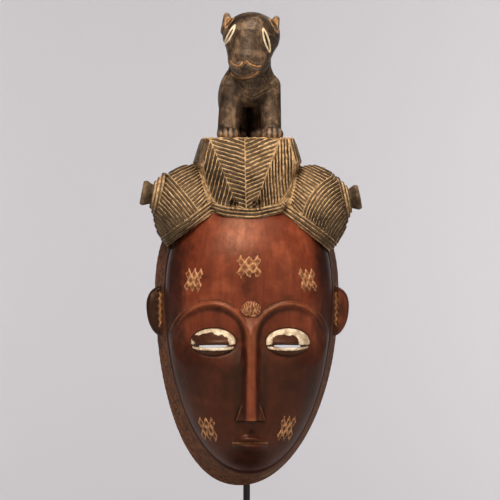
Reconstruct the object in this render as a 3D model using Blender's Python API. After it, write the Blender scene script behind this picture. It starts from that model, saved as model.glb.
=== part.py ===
"""A carved face mask with a leopard on its coiffure, held up on a steel display stand.

Metres, +Z up. The front of the mask faces -Y. The origin is the centre of the foot's underside.
The mask is one block of wood. Its carving is written in units of UNIT, which is one millimetre
at the real height, in a frame whose origin is the chin's lowest point on the flat back.
"""

import math

import bmesh
import bpy
from mathutils import Matrix, Vector
from mathutils.bvhtree import BVHTree

# Driving sizes, in metres
MASK_HEIGHT = 0.450
WALL = 0.012
CHIN_HEIGHT = 0.100
ROD_DIAMETER = 0.0065
ROD_SETBACK = 0.042
ROD_BEND_RADIUS = 0.014
CROSS_BAR_LENGTH = 0.034
CROSS_BAR_DEPTH = 0.026
FOOT_WIDTH = 0.150
FOOT_DEPTH = 0.150
FOOT_THICKNESS = 0.010
FOOT_CHAMFER = 0.0012
SOCKET_DEPTH = 0.007
GAP = 0.0003

UNIT = MASK_HEIGHT / 450.0

# The board: the mask's outline on its flat back, and the band that rises from it to the face
WIDEST_Z = 185 * UNIT
BOARD_HALF_WIDTH = 88 * UNIT
BOARD_ABOVE = 120 * UNIT
BOARD_FULLNESS = 2.16
BOARD_LEAN = 7 * UNIT
BAND_AT_SIDES = 8 * UNIT
BAND_AT_CHIN = 13 * UNIT
BAND_DEPTH = 38 * UNIT
FACE_STEP = 4 * UNIT

# The face: an egg in outline, drawn on simple shares of its own height
FACE_ABOVE = 112 * UNIT
FACE_FULLNESS = 2.08
FACE_RISE = 55 * UNIT
FOREHEAD_BULGE = 4 * UNIT
HAIRLINE_Z = 254 * UNIT
CHIN_Z = BAND_AT_CHIN + 10 * UNIT
FACE_HEIGHT = HAIRLINE_Z - CHIN_Z
EYE_LINE_Z = CHIN_Z + FACE_HEIGHT / 2
NOSE_BASE_Z = CHIN_Z + FACE_HEIGHT * 0.18
MOUTH_Z = CHIN_Z + FACE_HEIGHT * 0.09
BROW_RADIUS = 37 * UNIT
EYE_SPACING = 35 * UNIT
EYE_HALF_WIDTH = 21 * UNIT
EYE_HALF_HEIGHT = 13 * UNIT
SLIT_HALF_WIDTH = 14 * UNIT
SLIT_HALF_HEIGHT = 1.8 * UNIT
NOSE_RISE = 17 * UNIT
MOUTH_HALF_WIDTH = 17 * UNIT

# The coiffure
CUSP_X = 32.5 * UNIT
HAIR_CENTRE = -3.4 * UNIT
CUSP_RISE = 6 * UNIT
HAIRLINE_SLOPE = 0.74
HAIR_STEP = 3.5 * UNIT
HAIR_EDGE = 1.5 * UNIT
PLATFORM_Z = 331 * UNIT
BUN_CENTRE = Vector((58, -42, 262)) * UNIT
BUN_RADII = Vector((35, 42, 44)) * UNIT
BUN_SHIFT = 2 * UNIT
KNOB_Z = 276 * UNIT
KNOB_DROP = 2 * UNIT
KNOB_TILT = math.radians(11)
KNOB_SINK = 2.5 * UNIT
GROOVE_WIDTH = 2.0 * UNIT
GROOVE_DEPTH = 1.3 * UNIT
GROOVE_PITCH = 6.4 * UNIT
CREST_CENTRE = -1.3 * UNIT
CREST_ROUNDING = 0.36
SHIELD_CENTRE = -5 * UNIT
SHIELD_HALF_WIDTH = 40 * UNIT
CHEVRON_FOOT = 263 * UNIT
CHEVRON_PITCH = 6.8 * UNIT
CHEVRON_ROWS = 9

# How finely the forms are cut
OUTLINE_POINTS = 168
FACE_RINGS = 56
FACE_SHARE = 0.102
INCISION_PARTS = 4
LEOPARD_VOXEL = 2.2 * UNIT
LEOPARD_SHARE = 0.085

COLOURS = {
    "mask": ((0.13, 0.045, 0.025), 0.42, 0.0),
    "stand_rod": ((0.012, 0.012, 0.013), 0.40, 0.6),
    "stand_foot": ((0.012, 0.012, 0.013), 0.50, 0.6),
}


def clear_scene():
    """Removes what the startup scene holds."""
    for obj in list(bpy.data.objects):
        bpy.data.objects.remove(obj)


def finish_of(name):
    """The material of one piece, from its colour, roughness and metallic value."""
    colour, roughness, metallic = COLOURS[name]
    material = bpy.data.materials.new(name)
    material.use_nodes = True
    shader = material.node_tree.nodes["Principled BSDF"]
    shader.inputs["Base Color"].default_value = (*colour, 1.0)
    shader.inputs["Roughness"].default_value = roughness
    shader.inputs["Metallic"].default_value = metallic
    return material


def object_from(bm, name, parent=None, helper=False):
    """Turns a bmesh into a named object. A helper is read by a modifier and isn't part of the model."""
    bmesh.ops.recalc_face_normals(bm, faces=bm.faces)
    mesh = bpy.data.meshes.new(name)
    bm.to_mesh(mesh)
    bm.free()
    obj = bpy.data.objects.new(name, mesh)
    obj.parent = parent
    bpy.context.scene.collection.objects.link(obj)
    if helper:
        obj.hide_render = True
        obj.display_type = "WIRE"
    return obj


def smooth_step(low, high, value):
    """0 below low, 1 above high, and a smooth rise between them."""
    share = min(max((value - low) / (high - low), 0.0), 1.0)
    return share * share * (3.0 - 2.0 * share)


def bell(value, centre, width):
    """A smooth bump of height 1 at the centre."""
    return math.exp(-(((value - centre) / width) ** 2))


class Egg:
    """A closed outline round the mask's widest line, longer below it than above."""

    def __init__(self, half_width, below, above, fullness):
        self.half_width = half_width
        self.below = below
        self.above = above
        self.fullness = fullness

    def reach(self, z):
        """How far z is from the widest line, as a share of the outline's height on that side."""
        return abs(z - WIDEST_Z) / (self.below if z < WIDEST_Z else self.above)

    def half_width_at(self, z):
        """Half the outline's width at a height."""
        return self.half_width * max(1.0 - self.reach(z) ** 2, 0.0) ** (1.0 / self.fullness)

    def point(self, angle):
        """The outline's (x, z) at an angle round the widest line's middle."""
        c, s = math.cos(angle), math.sin(angle)
        x = math.copysign(self.half_width * abs(c) ** (2.0 / self.fullness), c)
        return x, WIDEST_Z + s * (self.above if s > 0 else self.below)


BOARD = Egg(BOARD_HALF_WIDTH, WIDEST_Z, BOARD_ABOVE, BOARD_FULLNESS)
FACE = Egg(BOARD_HALF_WIDTH - BAND_AT_SIDES, WIDEST_Z - BAND_AT_CHIN, FACE_ABOVE, FACE_FULLNESS)
HOLLOW = Egg(BOARD_HALF_WIDTH - WALL, WIDEST_Z - WALL, BOARD_ABOVE - WALL, BOARD_FULLNESS)


def board_point(angle):
    """The board's outline, whose lower end leans a little to one side as the carver left it."""
    x, z = BOARD.point(angle)
    drop = max(WIDEST_Z - z, 0.0) / WIDEST_Z
    return x - BOARD_LEAN * drop**2.5, z


def hairline(x):
    """Height of the hairline: a shallow arc over the forehead, then a straight slope to each ear."""
    out = abs(x - HAIR_CENTRE)
    if out < CUSP_X:
        return HAIRLINE_Z + CUSP_RISE * (out / CUSP_X) ** 2
    return HAIRLINE_Z + CUSP_RISE - (out - CUSP_X) * HAIRLINE_SLOPE


def dome_depth(x, z):
    """Depth of the plain face in front of the back: a full rounded form inside the face's outline."""
    along = FACE_RISE * max(1.0 - FACE.reach(z) ** 2.8, 0.0) ** 0.45
    half_width = max(FACE.half_width_at(z), 1e-6)
    across = max(1.0 - min(abs(x) / half_width, 1.0) ** 2.2, 0.0) ** 0.55
    bulge = FOREHEAD_BULGE * bell(z, 215 * UNIT, 32 * UNIT) * bell(x, 0.0, 60 * UNIT)
    return BAND_DEPTH + FACE_STEP + along * across + bulge * across


def brow_relief(x, z):
    """A rolled brow on a circle round each eye, with the socket sunk inside it."""
    out = math.hypot(abs(x) - BROW_RADIUS, z - EYE_LINE_Z)
    above_cheek = smooth_step(EYE_LINE_Z - 26 * UNIT, EYE_LINE_Z + 4 * UNIT, z)
    socket = 5.0 * UNIT * smooth_step(BROW_RADIUS, BROW_RADIUS - 9 * UNIT, out)
    roll = 1.6 * UNIT * bell(out, BROW_RADIUS - 2.5 * UNIT, 2.6 * UNIT)
    return (roll - socket) * above_cheek


def eye_relief(x, z):
    """A domed lid in each socket."""
    across = (abs(x) - EYE_SPACING) / EYE_HALF_WIDTH
    up = (z - EYE_LINE_Z) / EYE_HALF_HEIGHT
    return 5.0 * UNIT * max(1.0 - across**2 - up**2, 0.0) ** 0.6


def nose_relief(x, z):
    """A long straight nose that rises from the root to the tip, with two small wings at its base."""
    root = EYE_LINE_Z + 16 * UNIT
    down = min(max((root - z) / (root - NOSE_BASE_Z), 0.0), 1.0)
    ridge = (3.5 + 3.5 * down) * UNIT
    foot = (7.0 + 4.5 * down) * UNIT
    rise = (4.0 * UNIT + (NOSE_RISE - 4.0 * UNIT) * down) * smooth_step(root + 14 * UNIT, root, z)
    under = smooth_step(NOSE_BASE_Z - 1.2 * UNIT, NOSE_BASE_Z + 0.6 * UNIT, z)
    body = rise * smooth_step(foot, ridge * 0.5, abs(x))
    wing_up = max(1.0 - max(z - NOSE_BASE_Z, 0.0) / (17 * UNIT), 0.0)
    wing = 8.0 * UNIT * smooth_step(14 * UNIT, 9 * UNIT, abs(x)) * wing_up**0.5
    return max(body, wing) * under


def mouth_relief(x, z):
    """Two small closed lips on a low mound, and the groove from the nose above them."""
    across = abs(x) / MOUTH_HALF_WIDTH
    mound = 5.0 * UNIT * bell(x, 0.0, 22 * UNIT) * bell(z, MOUTH_Z, 12 * UNIT)
    if across >= 1.0:
        return mound
    fall = 1.0 - across**2
    upper = 3.0 * UNIT * bell(z, MOUTH_Z + 3.0 * UNIT, 2.6 * UNIT) * fall
    lower = 3.6 * UNIT * bell(z, MOUTH_Z - 3.6 * UNIT, 3.0 * UNIT) * fall
    philtrum = 1.8 * UNIT * bell(x, 0.0, 3 * UNIT) * bell(z, MOUTH_Z + 12 * UNIT, 5 * UNIT)
    return mound + upper + lower - philtrum


def tuft_relief(x, z):
    """The small raised fan of hair between the brows."""
    across = x / (9.5 * UNIT)
    up = (z - EYE_LINE_Z - 31 * UNIT) / (8 * UNIT)
    return 2.5 * UNIT * max(1.0 - across**2 - up**2, 0.0) ** 0.5


def face_depth(x, z):
    """Depth of the carved front at a place seen from the front."""
    relief = brow_relief(x, z) + eye_relief(x, z) + nose_relief(x, z)
    relief += mouth_relief(x, z) + tuft_relief(x, z)
    hair = HAIR_STEP * smooth_step(0.0, HAIR_EDGE, z - hairline(x))
    return dome_depth(x, z) + relief + hair


def hollow_depth(x, z):
    """Depth of the hollow behind the face, or None outside it."""
    out = (abs(x) / HOLLOW.half_width) ** HOLLOW.fullness + HOLLOW.reach(z) ** 2
    if out >= 1.0:
        return None
    return hollow_floor() * (1.0 - out) ** 0.42


def hollow_floor():
    """How deep the hollow is at its middle: the face's depth less the wall."""
    return BAND_DEPTH + FACE_STEP + FACE_RISE - 1.4 * WALL


def hollow_ceiling(x, depth):
    """Height of the hollow's upper surface over a place in it."""
    out = (abs(x) / HOLLOW.half_width) ** HOLLOW.fullness
    level = 1.0 - (depth / hollow_floor()) ** (1.0 / 0.42)
    return WIDEST_Z + HOLLOW.above * math.sqrt(max(level - out, 0.0))


def bridge(bm, lower, upper):
    """Joins two closed rings of the same number of vertices with quads."""
    for i in range(len(lower)):
        j = (i + 1) % len(lower)
        bm.faces.new((lower[i], lower[j], upper[j], upper[i]))


def loft(bm, rings):
    """A closed solid through a row of rings of points."""
    made = [[bm.verts.new(p) for p in ring] for ring in rings]
    for lower, upper in zip(made, made[1:]):
        bridge(bm, lower, upper)
    bm.faces.new(made[0])
    bm.faces.new(made[-1])


def angles(count):
    """Evenly spaced angles round a circle."""
    return [2.0 * math.pi * i / count for i in range(count)]


def face_block(parent):
    """The mask's outer form, still solid: flat back, sloping band, low step and carved face."""
    bm = bmesh.new()
    turn = angles(OUTLINE_POINTS)
    board = [board_point(a) for a in turn]
    face = [FACE.point(a) for a in turn]
    rings = [[Vector((x, 0.0, z)) for x, z in board]]
    for share in (0.33, 0.66, 1.0):
        rings.append(
            [
                Vector((bx + (fx - bx) * share, -BAND_DEPTH * share, bz + (fz - bz) * share))
                for (bx, bz), (fx, fz) in zip(board, face)
            ]
        )
    for i in range(FACE_RINGS):
        share = math.cos(0.5 * math.pi * i / FACE_RINGS)
        ring = []
        for fx, fz in face:
            x, z = fx * share, WIDEST_Z + (fz - WIDEST_Z) * share
            ring.append(Vector((x, -face_depth(x, z), z)))
        rings.append(ring)
    made = [[bm.verts.new(p) for p in ring] for ring in rings]
    for lower, upper in zip(made, made[1:]):
        bridge(bm, lower, upper)
    bm.faces.new(made[0])
    tip = bm.verts.new((0.0, -face_depth(0.0, WIDEST_Z), WIDEST_Z))
    for i in range(OUTLINE_POINTS):
        bm.faces.new((made[-1][i], made[-1][(i + 1) % OUTLINE_POINTS], tip))
    mask = object_from(bm, "mask", parent)
    thin = mask.modifiers.new("fewer_faces", "DECIMATE")
    thin.ratio = FACE_SHARE
    thin.use_collapse_triangulate = True
    return mask


def crest_section(z, half_width, front, back):
    """One level of the crest: a rounded rectangle seen from above."""
    middle, half_depth = (front + back) / 2, (front - back) / 2
    ring = []
    for a in angles(28):
        c, s = math.cos(a), math.sin(a)
        x = CREST_CENTRE + math.copysign(half_width * abs(c) ** CREST_ROUNDING, c)
        y = -middle - math.copysign(half_depth * abs(s) ** CREST_ROUNDING, s)
        ring.append(Vector((x, y, z)))
    return ring


def crest_block(parent):
    """The central crest: a tall wedge with a flat top that the leopard stands on."""
    levels = (
        (236, 27, 83, 4),
        (252, 31, 86, 3),
        (266, 36, 90, 2),
        (284, 42, 93, 2),
        (300, 45.5, 92.5, 2),
        (308, 50.5, 90.5, 2),
        (324, 46, 86, 3),
        (331, 43, 82.5, 6),
    )
    bm = bmesh.new()
    loft(bm, [crest_section(*(v * UNIT for v in level)) for level in levels])
    return object_from(bm, "crest", parent, helper=True)


def ellipsoid(bm, centre, radii, turn=None, segments=24, rings=14):
    """A scaled and turned sphere."""
    made = bmesh.ops.create_uvsphere(bm, u_segments=segments, v_segments=rings, radius=1.0)
    matrix = Matrix.Translation(centre) @ (turn or Matrix.Identity(4)) @ Matrix.Diagonal((*radii, 1.0))
    bmesh.ops.transform(bm, matrix=matrix, verts=made["verts"])


def side_bun(side, parent):
    """One side bun, round and full, pressed into the side of the coiffure."""
    bm = bmesh.new()
    centre = Vector((side * BUN_CENTRE.x + BUN_SHIFT, BUN_CENTRE.y, BUN_CENTRE.z))
    ellipsoid(bm, centre, BUN_RADII, segments=22, rings=14)
    return object_from(bm, f"bun_{'left' if side < 0 else 'right'}", parent, helper=True)


def turned(bm, profile, matrix, count):
    """A turned form about Z, from (radius, height) pairs, placed by a matrix."""
    rings = []
    for radius, height in profile:
        ring = [Vector((radius * math.cos(a), radius * math.sin(a), height)) for a in angles(count)]
        rings.append([matrix @ point for point in ring])
    loft(bm, rings)


def coil_and_knob(side, parent):
    """The stepped coil of hair at the bun's tip, with the flared knob that stands out of it."""
    profile = (
        (16, -24),
        (23, -13),
        (23, -9.5),
        (19.5, -7.5),
        (19, -4.8),
        (14.5, -2.8),
        (13.5, -0.6),
        (8.2, 0.8),
        (8.0, 4.5),
        (11.5, 11.5),
        (10.5, 13.8),
        (4, 12.8),
    )
    out = side * (BUN_CENTRE.x + BUN_RADII.x - KNOB_SINK) + BUN_SHIFT
    tip = Vector((out, BUN_CENTRE.y, KNOB_Z - side * KNOB_DROP))
    turn = Matrix.Rotation(side * (math.pi / 2 - KNOB_TILT), 4, "Y")
    bm = bmesh.new()
    turned(bm, [(r * UNIT, h * UNIT) for r, h in profile], Matrix.Translation(tip) @ turn, 16)
    return object_from(bm, f"knob_{'left' if side < 0 else 'right'}", parent, helper=True)


def ear(side, parent):
    """A C-shaped ear on the band, full above and drawn in below, sunk inside its rim."""
    bm = bmesh.new()
    middle_z = 167 * UNIT
    outer = []
    for i in range(11):
        a = math.pi * (i / 10 - 0.5)
        reach = (15.5 + 2.5 * math.sin(a)) * UNIT * math.cos(a) ** 0.6 if abs(a) < 1.57 else 0.0
        outer.append((80 * UNIT + reach, middle_z + 24 * UNIT * math.sin(a)))
    outline = [(70 * UNIT, outer[-1][1] - 3 * UNIT), (70 * UNIT, outer[0][1] + 3 * UNIT), *outer]
    loft(bm, [[Vector((side * x, -depth * UNIT, z)) for x, z in outline] for depth in (14, 27)])
    obj = object_from(bm, f"ear_{'left' if side < 0 else 'right'}", parent, helper=True)
    soften = obj.modifiers.new("rounded", "BEVEL")
    soften.width = 2.2 * UNIT
    soften.segments = 1
    soften.limit_method = "ANGLE"
    return obj


def ear_hollow(side, parent):
    """The shell of the ear, cut in between its rim and the cheek."""
    bm = bmesh.new()
    centre = Vector((side * 84, -28, 168)) * UNIT
    ellipsoid(bm, centre, Vector((4.2, 7, 15)) * UNIT, segments=10, rings=8)
    return object_from(bm, f"ear_hollow_{'left' if side < 0 else 'right'}", parent, helper=True)


def limb(bm, start, end, start_radius, end_radius, count=14):
    """A tapered limb with round ends between two points."""
    start, end = Vector(start) * UNIT, Vector(end) * UNIT
    along = end - start
    turn = along.to_track_quat("Z", "Y").to_matrix().to_4x4()
    matrix = Matrix.Translation(start) @ turn
    profile = [(start_radius * math.cos(a), start_radius * math.sin(a)) for a in (-1.35, -0.9, -0.45)]
    profile += [(start_radius, 0.0), (end_radius, along.length / UNIT)]
    profile += [
        (end_radius * math.cos(a), along.length / UNIT + end_radius * math.sin(a)) for a in (0.45, 0.9, 1.35)
    ]
    turned(bm, [(r * UNIT, h * UNIT) for r, h in profile], matrix, count)


def leopard(parent):
    """The leopard on the crest: one smooth form melted together from its masses."""
    ground = PLATFORM_Z / UNIT
    bm = bmesh.new()
    limb(bm, (0, -60, ground + 55), (0, -26, ground + 53), 20.5, 19.5)
    ellipsoid(bm, Vector((1.5, -60, ground + 54)) * UNIT, Vector((25, 17, 20)) * UNIT)
    limb(bm, (0.5, -62, ground + 62), (1.5, -72, ground + 88), 19.5, 18.5)
    ellipsoid(bm, Vector((1.5, -75, ground + 95.5)) * UNIT, Vector((27.5, 23, 22.5)) * UNIT)
    limb(bm, (0.5, -84, ground + 91), (0.5, -95, ground + 73), 25.0, 19.5)
    for side in (-1, 1):
        limb(bm, (0.5 + side * 16, -64, ground + 52), (-1.0 + side * 20, -69, ground + 6), 11.2, 10.4)
        ellipsoid(bm, Vector((side * 20.5 - 1.0, -73, ground + 3.5)) * UNIT, Vector((11, 12, 7)) * UNIT)
        ellipsoid(bm, Vector((side * 14, -22, ground + 38)) * UNIT, Vector((14.5, 19, 27)) * UNIT)
        limb(bm, (side * 12.5, -18, ground + 26), (side * 12.5, -19, ground + 5), 13.2, 12.6)
        ellipsoid(bm, Vector((side * 13.5, -25, ground + 3.5)) * UNIT, Vector((12.6, 13.5, 8)) * UNIT)
    limb(bm, (-21, -71, ground + 101), (-24, -71, ground + 113.5), 7.2, 3.0)
    limb(bm, (20, -73, ground + 98.5), (26, -75, ground + 110), 7.2, 3.0)
    limb(bm, (0, -12, ground + 66), (0, -7, ground + 45), 5.5, 4.5)
    limb(bm, (0, -7, ground + 45), (0, -10, ground - 2), 4.5, 4.0)
    body = object_from(bm, "leopard", parent, helper=True)
    melt = body.modifiers.new("melted", "REMESH")
    melt.mode = "VOXEL"
    melt.voxel_size = LEOPARD_VOXEL
    soften = body.modifiers.new("softened", "SMOOTH")
    soften.factor = 0.5
    soften.iterations = 6
    thin = body.modifiers.new("fewer_faces", "DECIMATE")
    thin.ratio = LEOPARD_SHARE
    return body


def hollow_cutter(parent):
    """The hollow of the mask, open at the flat back."""
    bm = bmesh.new()
    turn = angles(44)
    edge = [HOLLOW.point(a) for a in turn]
    rings = [[Vector((x, WALL, z)) for x, z in edge], [Vector((x, 0.0, z)) for x, z in edge]]
    for i in range(1, 8):
        share = math.cos(0.5 * math.pi * i / 8)
        ring = []
        for ex, ez in edge:
            x, z = ex * share, WIDEST_Z + (ez - WIDEST_Z) * share
            ring.append(Vector((x, -hollow_depth(x, z), z)))
        rings.append(ring)
    loft(bm, rings)
    return object_from(bm, "hollow", parent, helper=True)


def eye_slit(side, parent):
    """The slit that the wearer looks through, cut through the wall under the upper lid."""
    bm = bmesh.new()
    outline = []
    for a in angles(16):
        x = side * EYE_SPACING + SLIT_HALF_WIDTH * math.cos(a)
        z = EYE_LINE_Z - 3 * UNIT + SLIT_HALF_HEIGHT * math.sin(a)
        outline.append((x, z))
    front = BAND_DEPTH + FACE_STEP + FACE_RISE
    loft(bm, [[Vector((x, -depth, z)) for x, z in outline] for depth in (front / 3, front * 1.2)])
    return object_from(bm, f"slit_{'left' if side < 0 else 'right'}", parent, helper=True)


def carved_surface(mask):
    """The mask's surface so far, for laying incisions and scars on it."""
    bpy.context.view_layer.update()
    graph = bpy.context.evaluated_depsgraph_get()
    evaluated = mask.evaluated_get(graph)
    mesh = evaluated.to_mesh()
    points = [v.co.copy() for v in mesh.vertices]
    faces = [tuple(p.vertices) for p in mesh.polygons]
    evaluated.to_mesh_clear()
    return BVHTree.FromPolygons(points, faces)


def laid_on(surface, path):
    """Points of a path drawn in front view, moved back onto the surface, each with its normal."""
    laid = []
    for x, z in path:
        point, normal, _, _ = surface.ray_cast(Vector((x, -1.0, z)), Vector((0.0, 1.0, 0.0)))
        laid.append(None if point is None else (point, normal))
    return laid


def smooth_stretch(laid):
    """The longest stretch of laid points that stays on one form, as a range of indices."""
    best, start = (0, 0), 0
    for i in range(1, len(laid) + 1):
        goes_on = i < len(laid) and laid[i] is not None and laid[i - 1] is not None
        if goes_on:
            (here, normal), (there, other) = laid[i - 1], laid[i]
            step = (there - here).length
            flat = math.hypot(there.x - here.x, there.z - here.z)
            goes_on = step < 2.2 * flat + 0.3 * UNIT and normal.dot(other) > 0.75
        if not goes_on:
            if i - start > best[1] - best[0]:
                best = (start, i)
            start = i
    return best


def incision(bm, surface, path, width=GROOVE_WIDTH, depth=GROOVE_DEPTH):
    """A V-cutter along a path drawn in front view, for as far as the path stays on one form."""
    fine = [path[0]]
    for start, end in zip(path, path[1:]):
        fine += sampled(start, end, INCISION_PARTS)[1:]
    laid = laid_on(surface, fine)
    first, stop = smooth_stretch(laid)
    if stop - first < 4:
        return
    kept = [i for i in range(first + 2, stop - 2) if i % INCISION_PARTS == 0]
    laid = [laid[i] for i in (first, *kept, stop - 1)]
    rings = []
    for i, (point, normal) in enumerate(laid):
        before, after = laid[max(i - 1, 0)][0], laid[min(i + 1, len(laid) - 1)][0]
        across = (after - before).cross(normal).normalized() * width
        above, below = point + normal * depth, point - normal * depth
        rings.append([above + across, below, above - across])
    loft(bm, rings)


def sampled(start, end, steps):
    """Points along a straight line in front view."""
    return [
        (start[0] + (end[0] - start[0]) * i / steps, start[1] + (end[1] - start[1]) * i / steps)
        for i in range(steps + 1)
    ]


def shield_half_width(z):
    """Half the width of the crest's plaited shield, drawn in towards the hairline."""
    return SHIELD_HALF_WIDTH - 12 * UNIT * (max(306 * UNIT - z, 0.0) / (36 * UNIT)) ** 2


def crest_incisions(bm, surface):
    """Rows of M-shaped chevrons down the crest's front, which fold along two lines that close downwards."""
    for row in range(CHEVRON_ROWS):
        z = CHEVRON_FOOT + row * CHEVRON_PITCH
        fold = 7 * UNIT + 0.385 * (z - CHEVRON_FOOT)
        peak = z + 0.42 * fold
        edge = min(fold + 0.5 * (peak - CHEVRON_FOOT) + 5 * UNIT, shield_half_width(peak) - 2 * UNIT)
        foot = peak - 1.6 * (edge - fold)
        for side in (-1, 1):
            leg = sampled((side * edge, foot), (side * fold, peak), 2)
            leg += sampled((side * fold, peak), (side * 1.2 * UNIT, z), 1)[1:]
            leg = [(SHIELD_CENTRE + x, z) for x, z in leg if z > hairline(x) + 7 * UNIT]
            if len(leg) > 1:
                incision(bm, surface, leg)


def bun_incisions(bm, surface, side):
    """Two fields of combed hair on a bun, laid at right angles to each other."""
    top, foot = Vector((77, 291)) * UNIT, Vector((51, 259)) * UNIT
    ridge = foot - top
    inward = Vector((-ridge.y, ridge.x)).normalized()
    lines = 5
    for i in range(lines):
        start = top + ridge * (i + 0.6) / lines
        reach = (26 - 9 * i / lines) * UNIT
        ends = (start + inward * 2.5 * UNIT, start + inward * reach)
        incision(bm, surface, [(side * x, z) for x, z in sampled(*ends, 2)])
    for i in range(3):
        shift = -inward * GROOVE_PITCH * i
        start, end = top + ridge * 0.12 * i + shift, foot + shift
        incision(bm, surface, [(side * x, z) for x, z in sampled(start, end, 3)])


def band_incisions(bm, surface):
    """The line that sets off the plaited band along the hairline."""
    reach = 78 * UNIT
    steps = 16
    path = []
    for i in range(steps + 1):
        x = reach * (2.0 * i / steps - 1.0)
        path.append((x, hairline(x) + 4.2 * UNIT))
    incision(bm, surface, path)


def face_incisions(bm, surface):
    """The line between the lips, and the combed lines of the tuft between the brows."""
    lips = sampled((-MOUTH_HALF_WIDTH * 0.9, MOUTH_Z), (MOUTH_HALF_WIDTH * 0.9, MOUTH_Z), 6)
    incision(bm, surface, lips, 1.5 * UNIT, 1.5 * UNIT)
    for i in range(-1, 2):
        x = i * 4.0 * UNIT
        low, high = EYE_LINE_Z + 26 * UNIT, EYE_LINE_Z + 37 * UNIT
        incision(bm, surface, sampled((x * 0.8, low), (x, high), 2), 1.1 * UNIT, 0.9 * UNIT)


def leopard_incisions(bm, surface):
    """The leopard's eyes, nostrils and mouth."""
    ground = PLATFORM_Z
    for side in (-1, 1):
        eye = [
            (1.5 * UNIT + side * (17.5 + 4.5 * share) * UNIT, ground + (102 - 17 * share) * UNIT)
            for share in (0.0, 0.33, 0.66, 1.0)
        ]
        incision(bm, surface, eye, 1.6 * UNIT, 1.0 * UNIT)
        nostril = [
            ((side * (4 + 9 * share) - 3.0) * UNIT, ground + (71 - 4.0 * math.sin(math.pi * share)) * UNIT)
            for share in (0.0, 0.33, 0.66, 1.0)
        ]
        incision(bm, surface, nostril, 1.2 * UNIT, 1.0 * UNIT)
    mouth = []
    for i in range(7):
        a = math.pi * (0.15 + 0.7 * i / 6)
        mouth.append((-(5.0 + 14 * math.cos(a)) * UNIT, ground + (64 - 8 * math.sin(a)) * UNIT))
    incision(bm, surface, mouth, 1.2 * UNIT, 1.0 * UNIT)


def incisions(mask, parent):
    """Every line cut into the wood, as one cutter."""
    surface = carved_surface(mask)
    bm = bmesh.new()
    crest_incisions(bm, surface)
    for side in (-1, 1):
        bun_incisions(bm, surface, side)
    band_incisions(bm, surface)
    face_incisions(bm, surface)
    leopard_incisions(bm, surface)
    return object_from(bm, "incisions", parent, helper=True)


def scar_patch(bm, surface, centre, size, lean):
    """A patch of raised diamonds, three across and two high."""
    width, height = size
    for column in range(3):
        for row in range(2):
            x = centre[0] + (column - 1) * width / 3 + lean * (row - 0.5)
            z = centre[1] + (row - 0.5) * height / 2
            point, normal = laid_on(surface, [(x, z)])[0]
            right = Vector((1.0, 0.0, 0.0)) - normal * normal.x
            up = Vector((0.0, 0.0, 1.0)) - normal * normal.z
            ring = [(0.46, 0.0), (0.0, 0.46), (-0.46, 0.0), (0.0, -0.46)]
            corners = [point + right * width / 3 * r + up * height / 2 * u for r, u in ring]
            low = [c - normal * 1.5 * UNIT for c in corners]
            high = [point + (c - point) * 0.55 + normal * 1.5 * UNIT for c in corners]
            loft(bm, [low, high])


def scars(mask, parent):
    """The five patches of scars: forehead, temples and cheeks."""
    surface = carved_surface(mask)
    bm = bmesh.new()
    patches = (
        ((0, 209.5), (20, 20), 0),
        ((-53, 196), (14, 20), 2),
        ((55, 196), (13, 20), -3),
        ((-39, 54), (12, 21), 3),
        ((35, 54), (12, 21), -3),
    )
    for centre, size, lean in patches:
        scar_patch(bm, surface, [v * UNIT for v in centre], [v * UNIT for v in size], lean * UNIT)
    return object_from(bm, "scars", parent, helper=True)


def combine(mask, operation, helpers, name):
    """One Boolean on the mask with a collection of helpers."""
    group = bpy.data.collections.new(name)
    bpy.context.scene.collection.children.link(group)
    for helper in helpers:
        bpy.context.scene.collection.objects.unlink(helper)
        group.objects.link(helper)
    group.hide_render = True
    modifier = mask.modifiers.new(name, "BOOLEAN")
    modifier.operation = operation
    modifier.operand_type = "COLLECTION"
    modifier.collection = group
    modifier.solver = "EXACT"
    modifier.use_self = True


def sweep_off_chips(obj):
    """Applies the modifiers, and drops the chips of wood left loose where two cuts cross."""
    bpy.context.view_layer.update()
    graph = bpy.context.evaluated_depsgraph_get()
    mesh = bpy.data.meshes.new_from_object(obj.evaluated_get(graph))
    bm = bmesh.new()
    bm.from_mesh(mesh)
    waiting, bodies = set(bm.verts), []
    while waiting:
        front, body = [waiting.pop()], []
        while front:
            vertex = front.pop()
            body.append(vertex)
            near = {edge.other_vert(vertex) for edge in vertex.link_edges} & waiting
            waiting -= near
            front += near
        bodies.append(body)
    bodies.sort(key=len)
    loose = [vertex for body in bodies[:-1] for vertex in body]
    bmesh.ops.delete(bm, geom=loose, context="VERTS")
    bm.to_mesh(mesh)
    bm.free()
    obj.modifiers.clear()
    obj.data = mesh


def carve_mask(parent):
    """The mask: the face block with everything carved on it, hollowed and then incised."""
    mask = face_block(parent)
    forms = [crest_block(parent), leopard(parent)]
    for side in (-1, 1):
        forms += [side_bun(side, parent), coil_and_knob(side, parent), ear(side, parent)]
    combine(mask, "UNION", forms, "added_forms")
    combine(mask, "UNION", [scars(mask, parent)], "added_scars")
    holes = [hollow_cutter(parent)]
    for side in (-1, 1):
        holes += [eye_slit(side, parent), ear_hollow(side, parent)]
    combine(mask, "DIFFERENCE", holes, "hollowed")
    combine(mask, "DIFFERENCE", [incisions(mask, parent)], "incised")
    sweep_off_chips(mask)
    return mask


def tube(bm, path, radius, count=12):
    """A round bar along a path, with flat ends."""
    rings = []
    for i, point in enumerate(path):
        before, after = path[max(i - 1, 0)], path[min(i + 1, len(path) - 1)]
        along = (after - before).normalized()
        right = Vector((1.0, 0.0, 0.0)) if abs(along.x) < 0.9 else Vector((0.0, 1.0, 0.0))
        up = along.cross(right).normalized()
        right = up.cross(along)
        rings.append([point + (right * math.cos(a) + up * math.sin(a)) * radius for a in angles(count)])
    loft(bm, rings)


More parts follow.
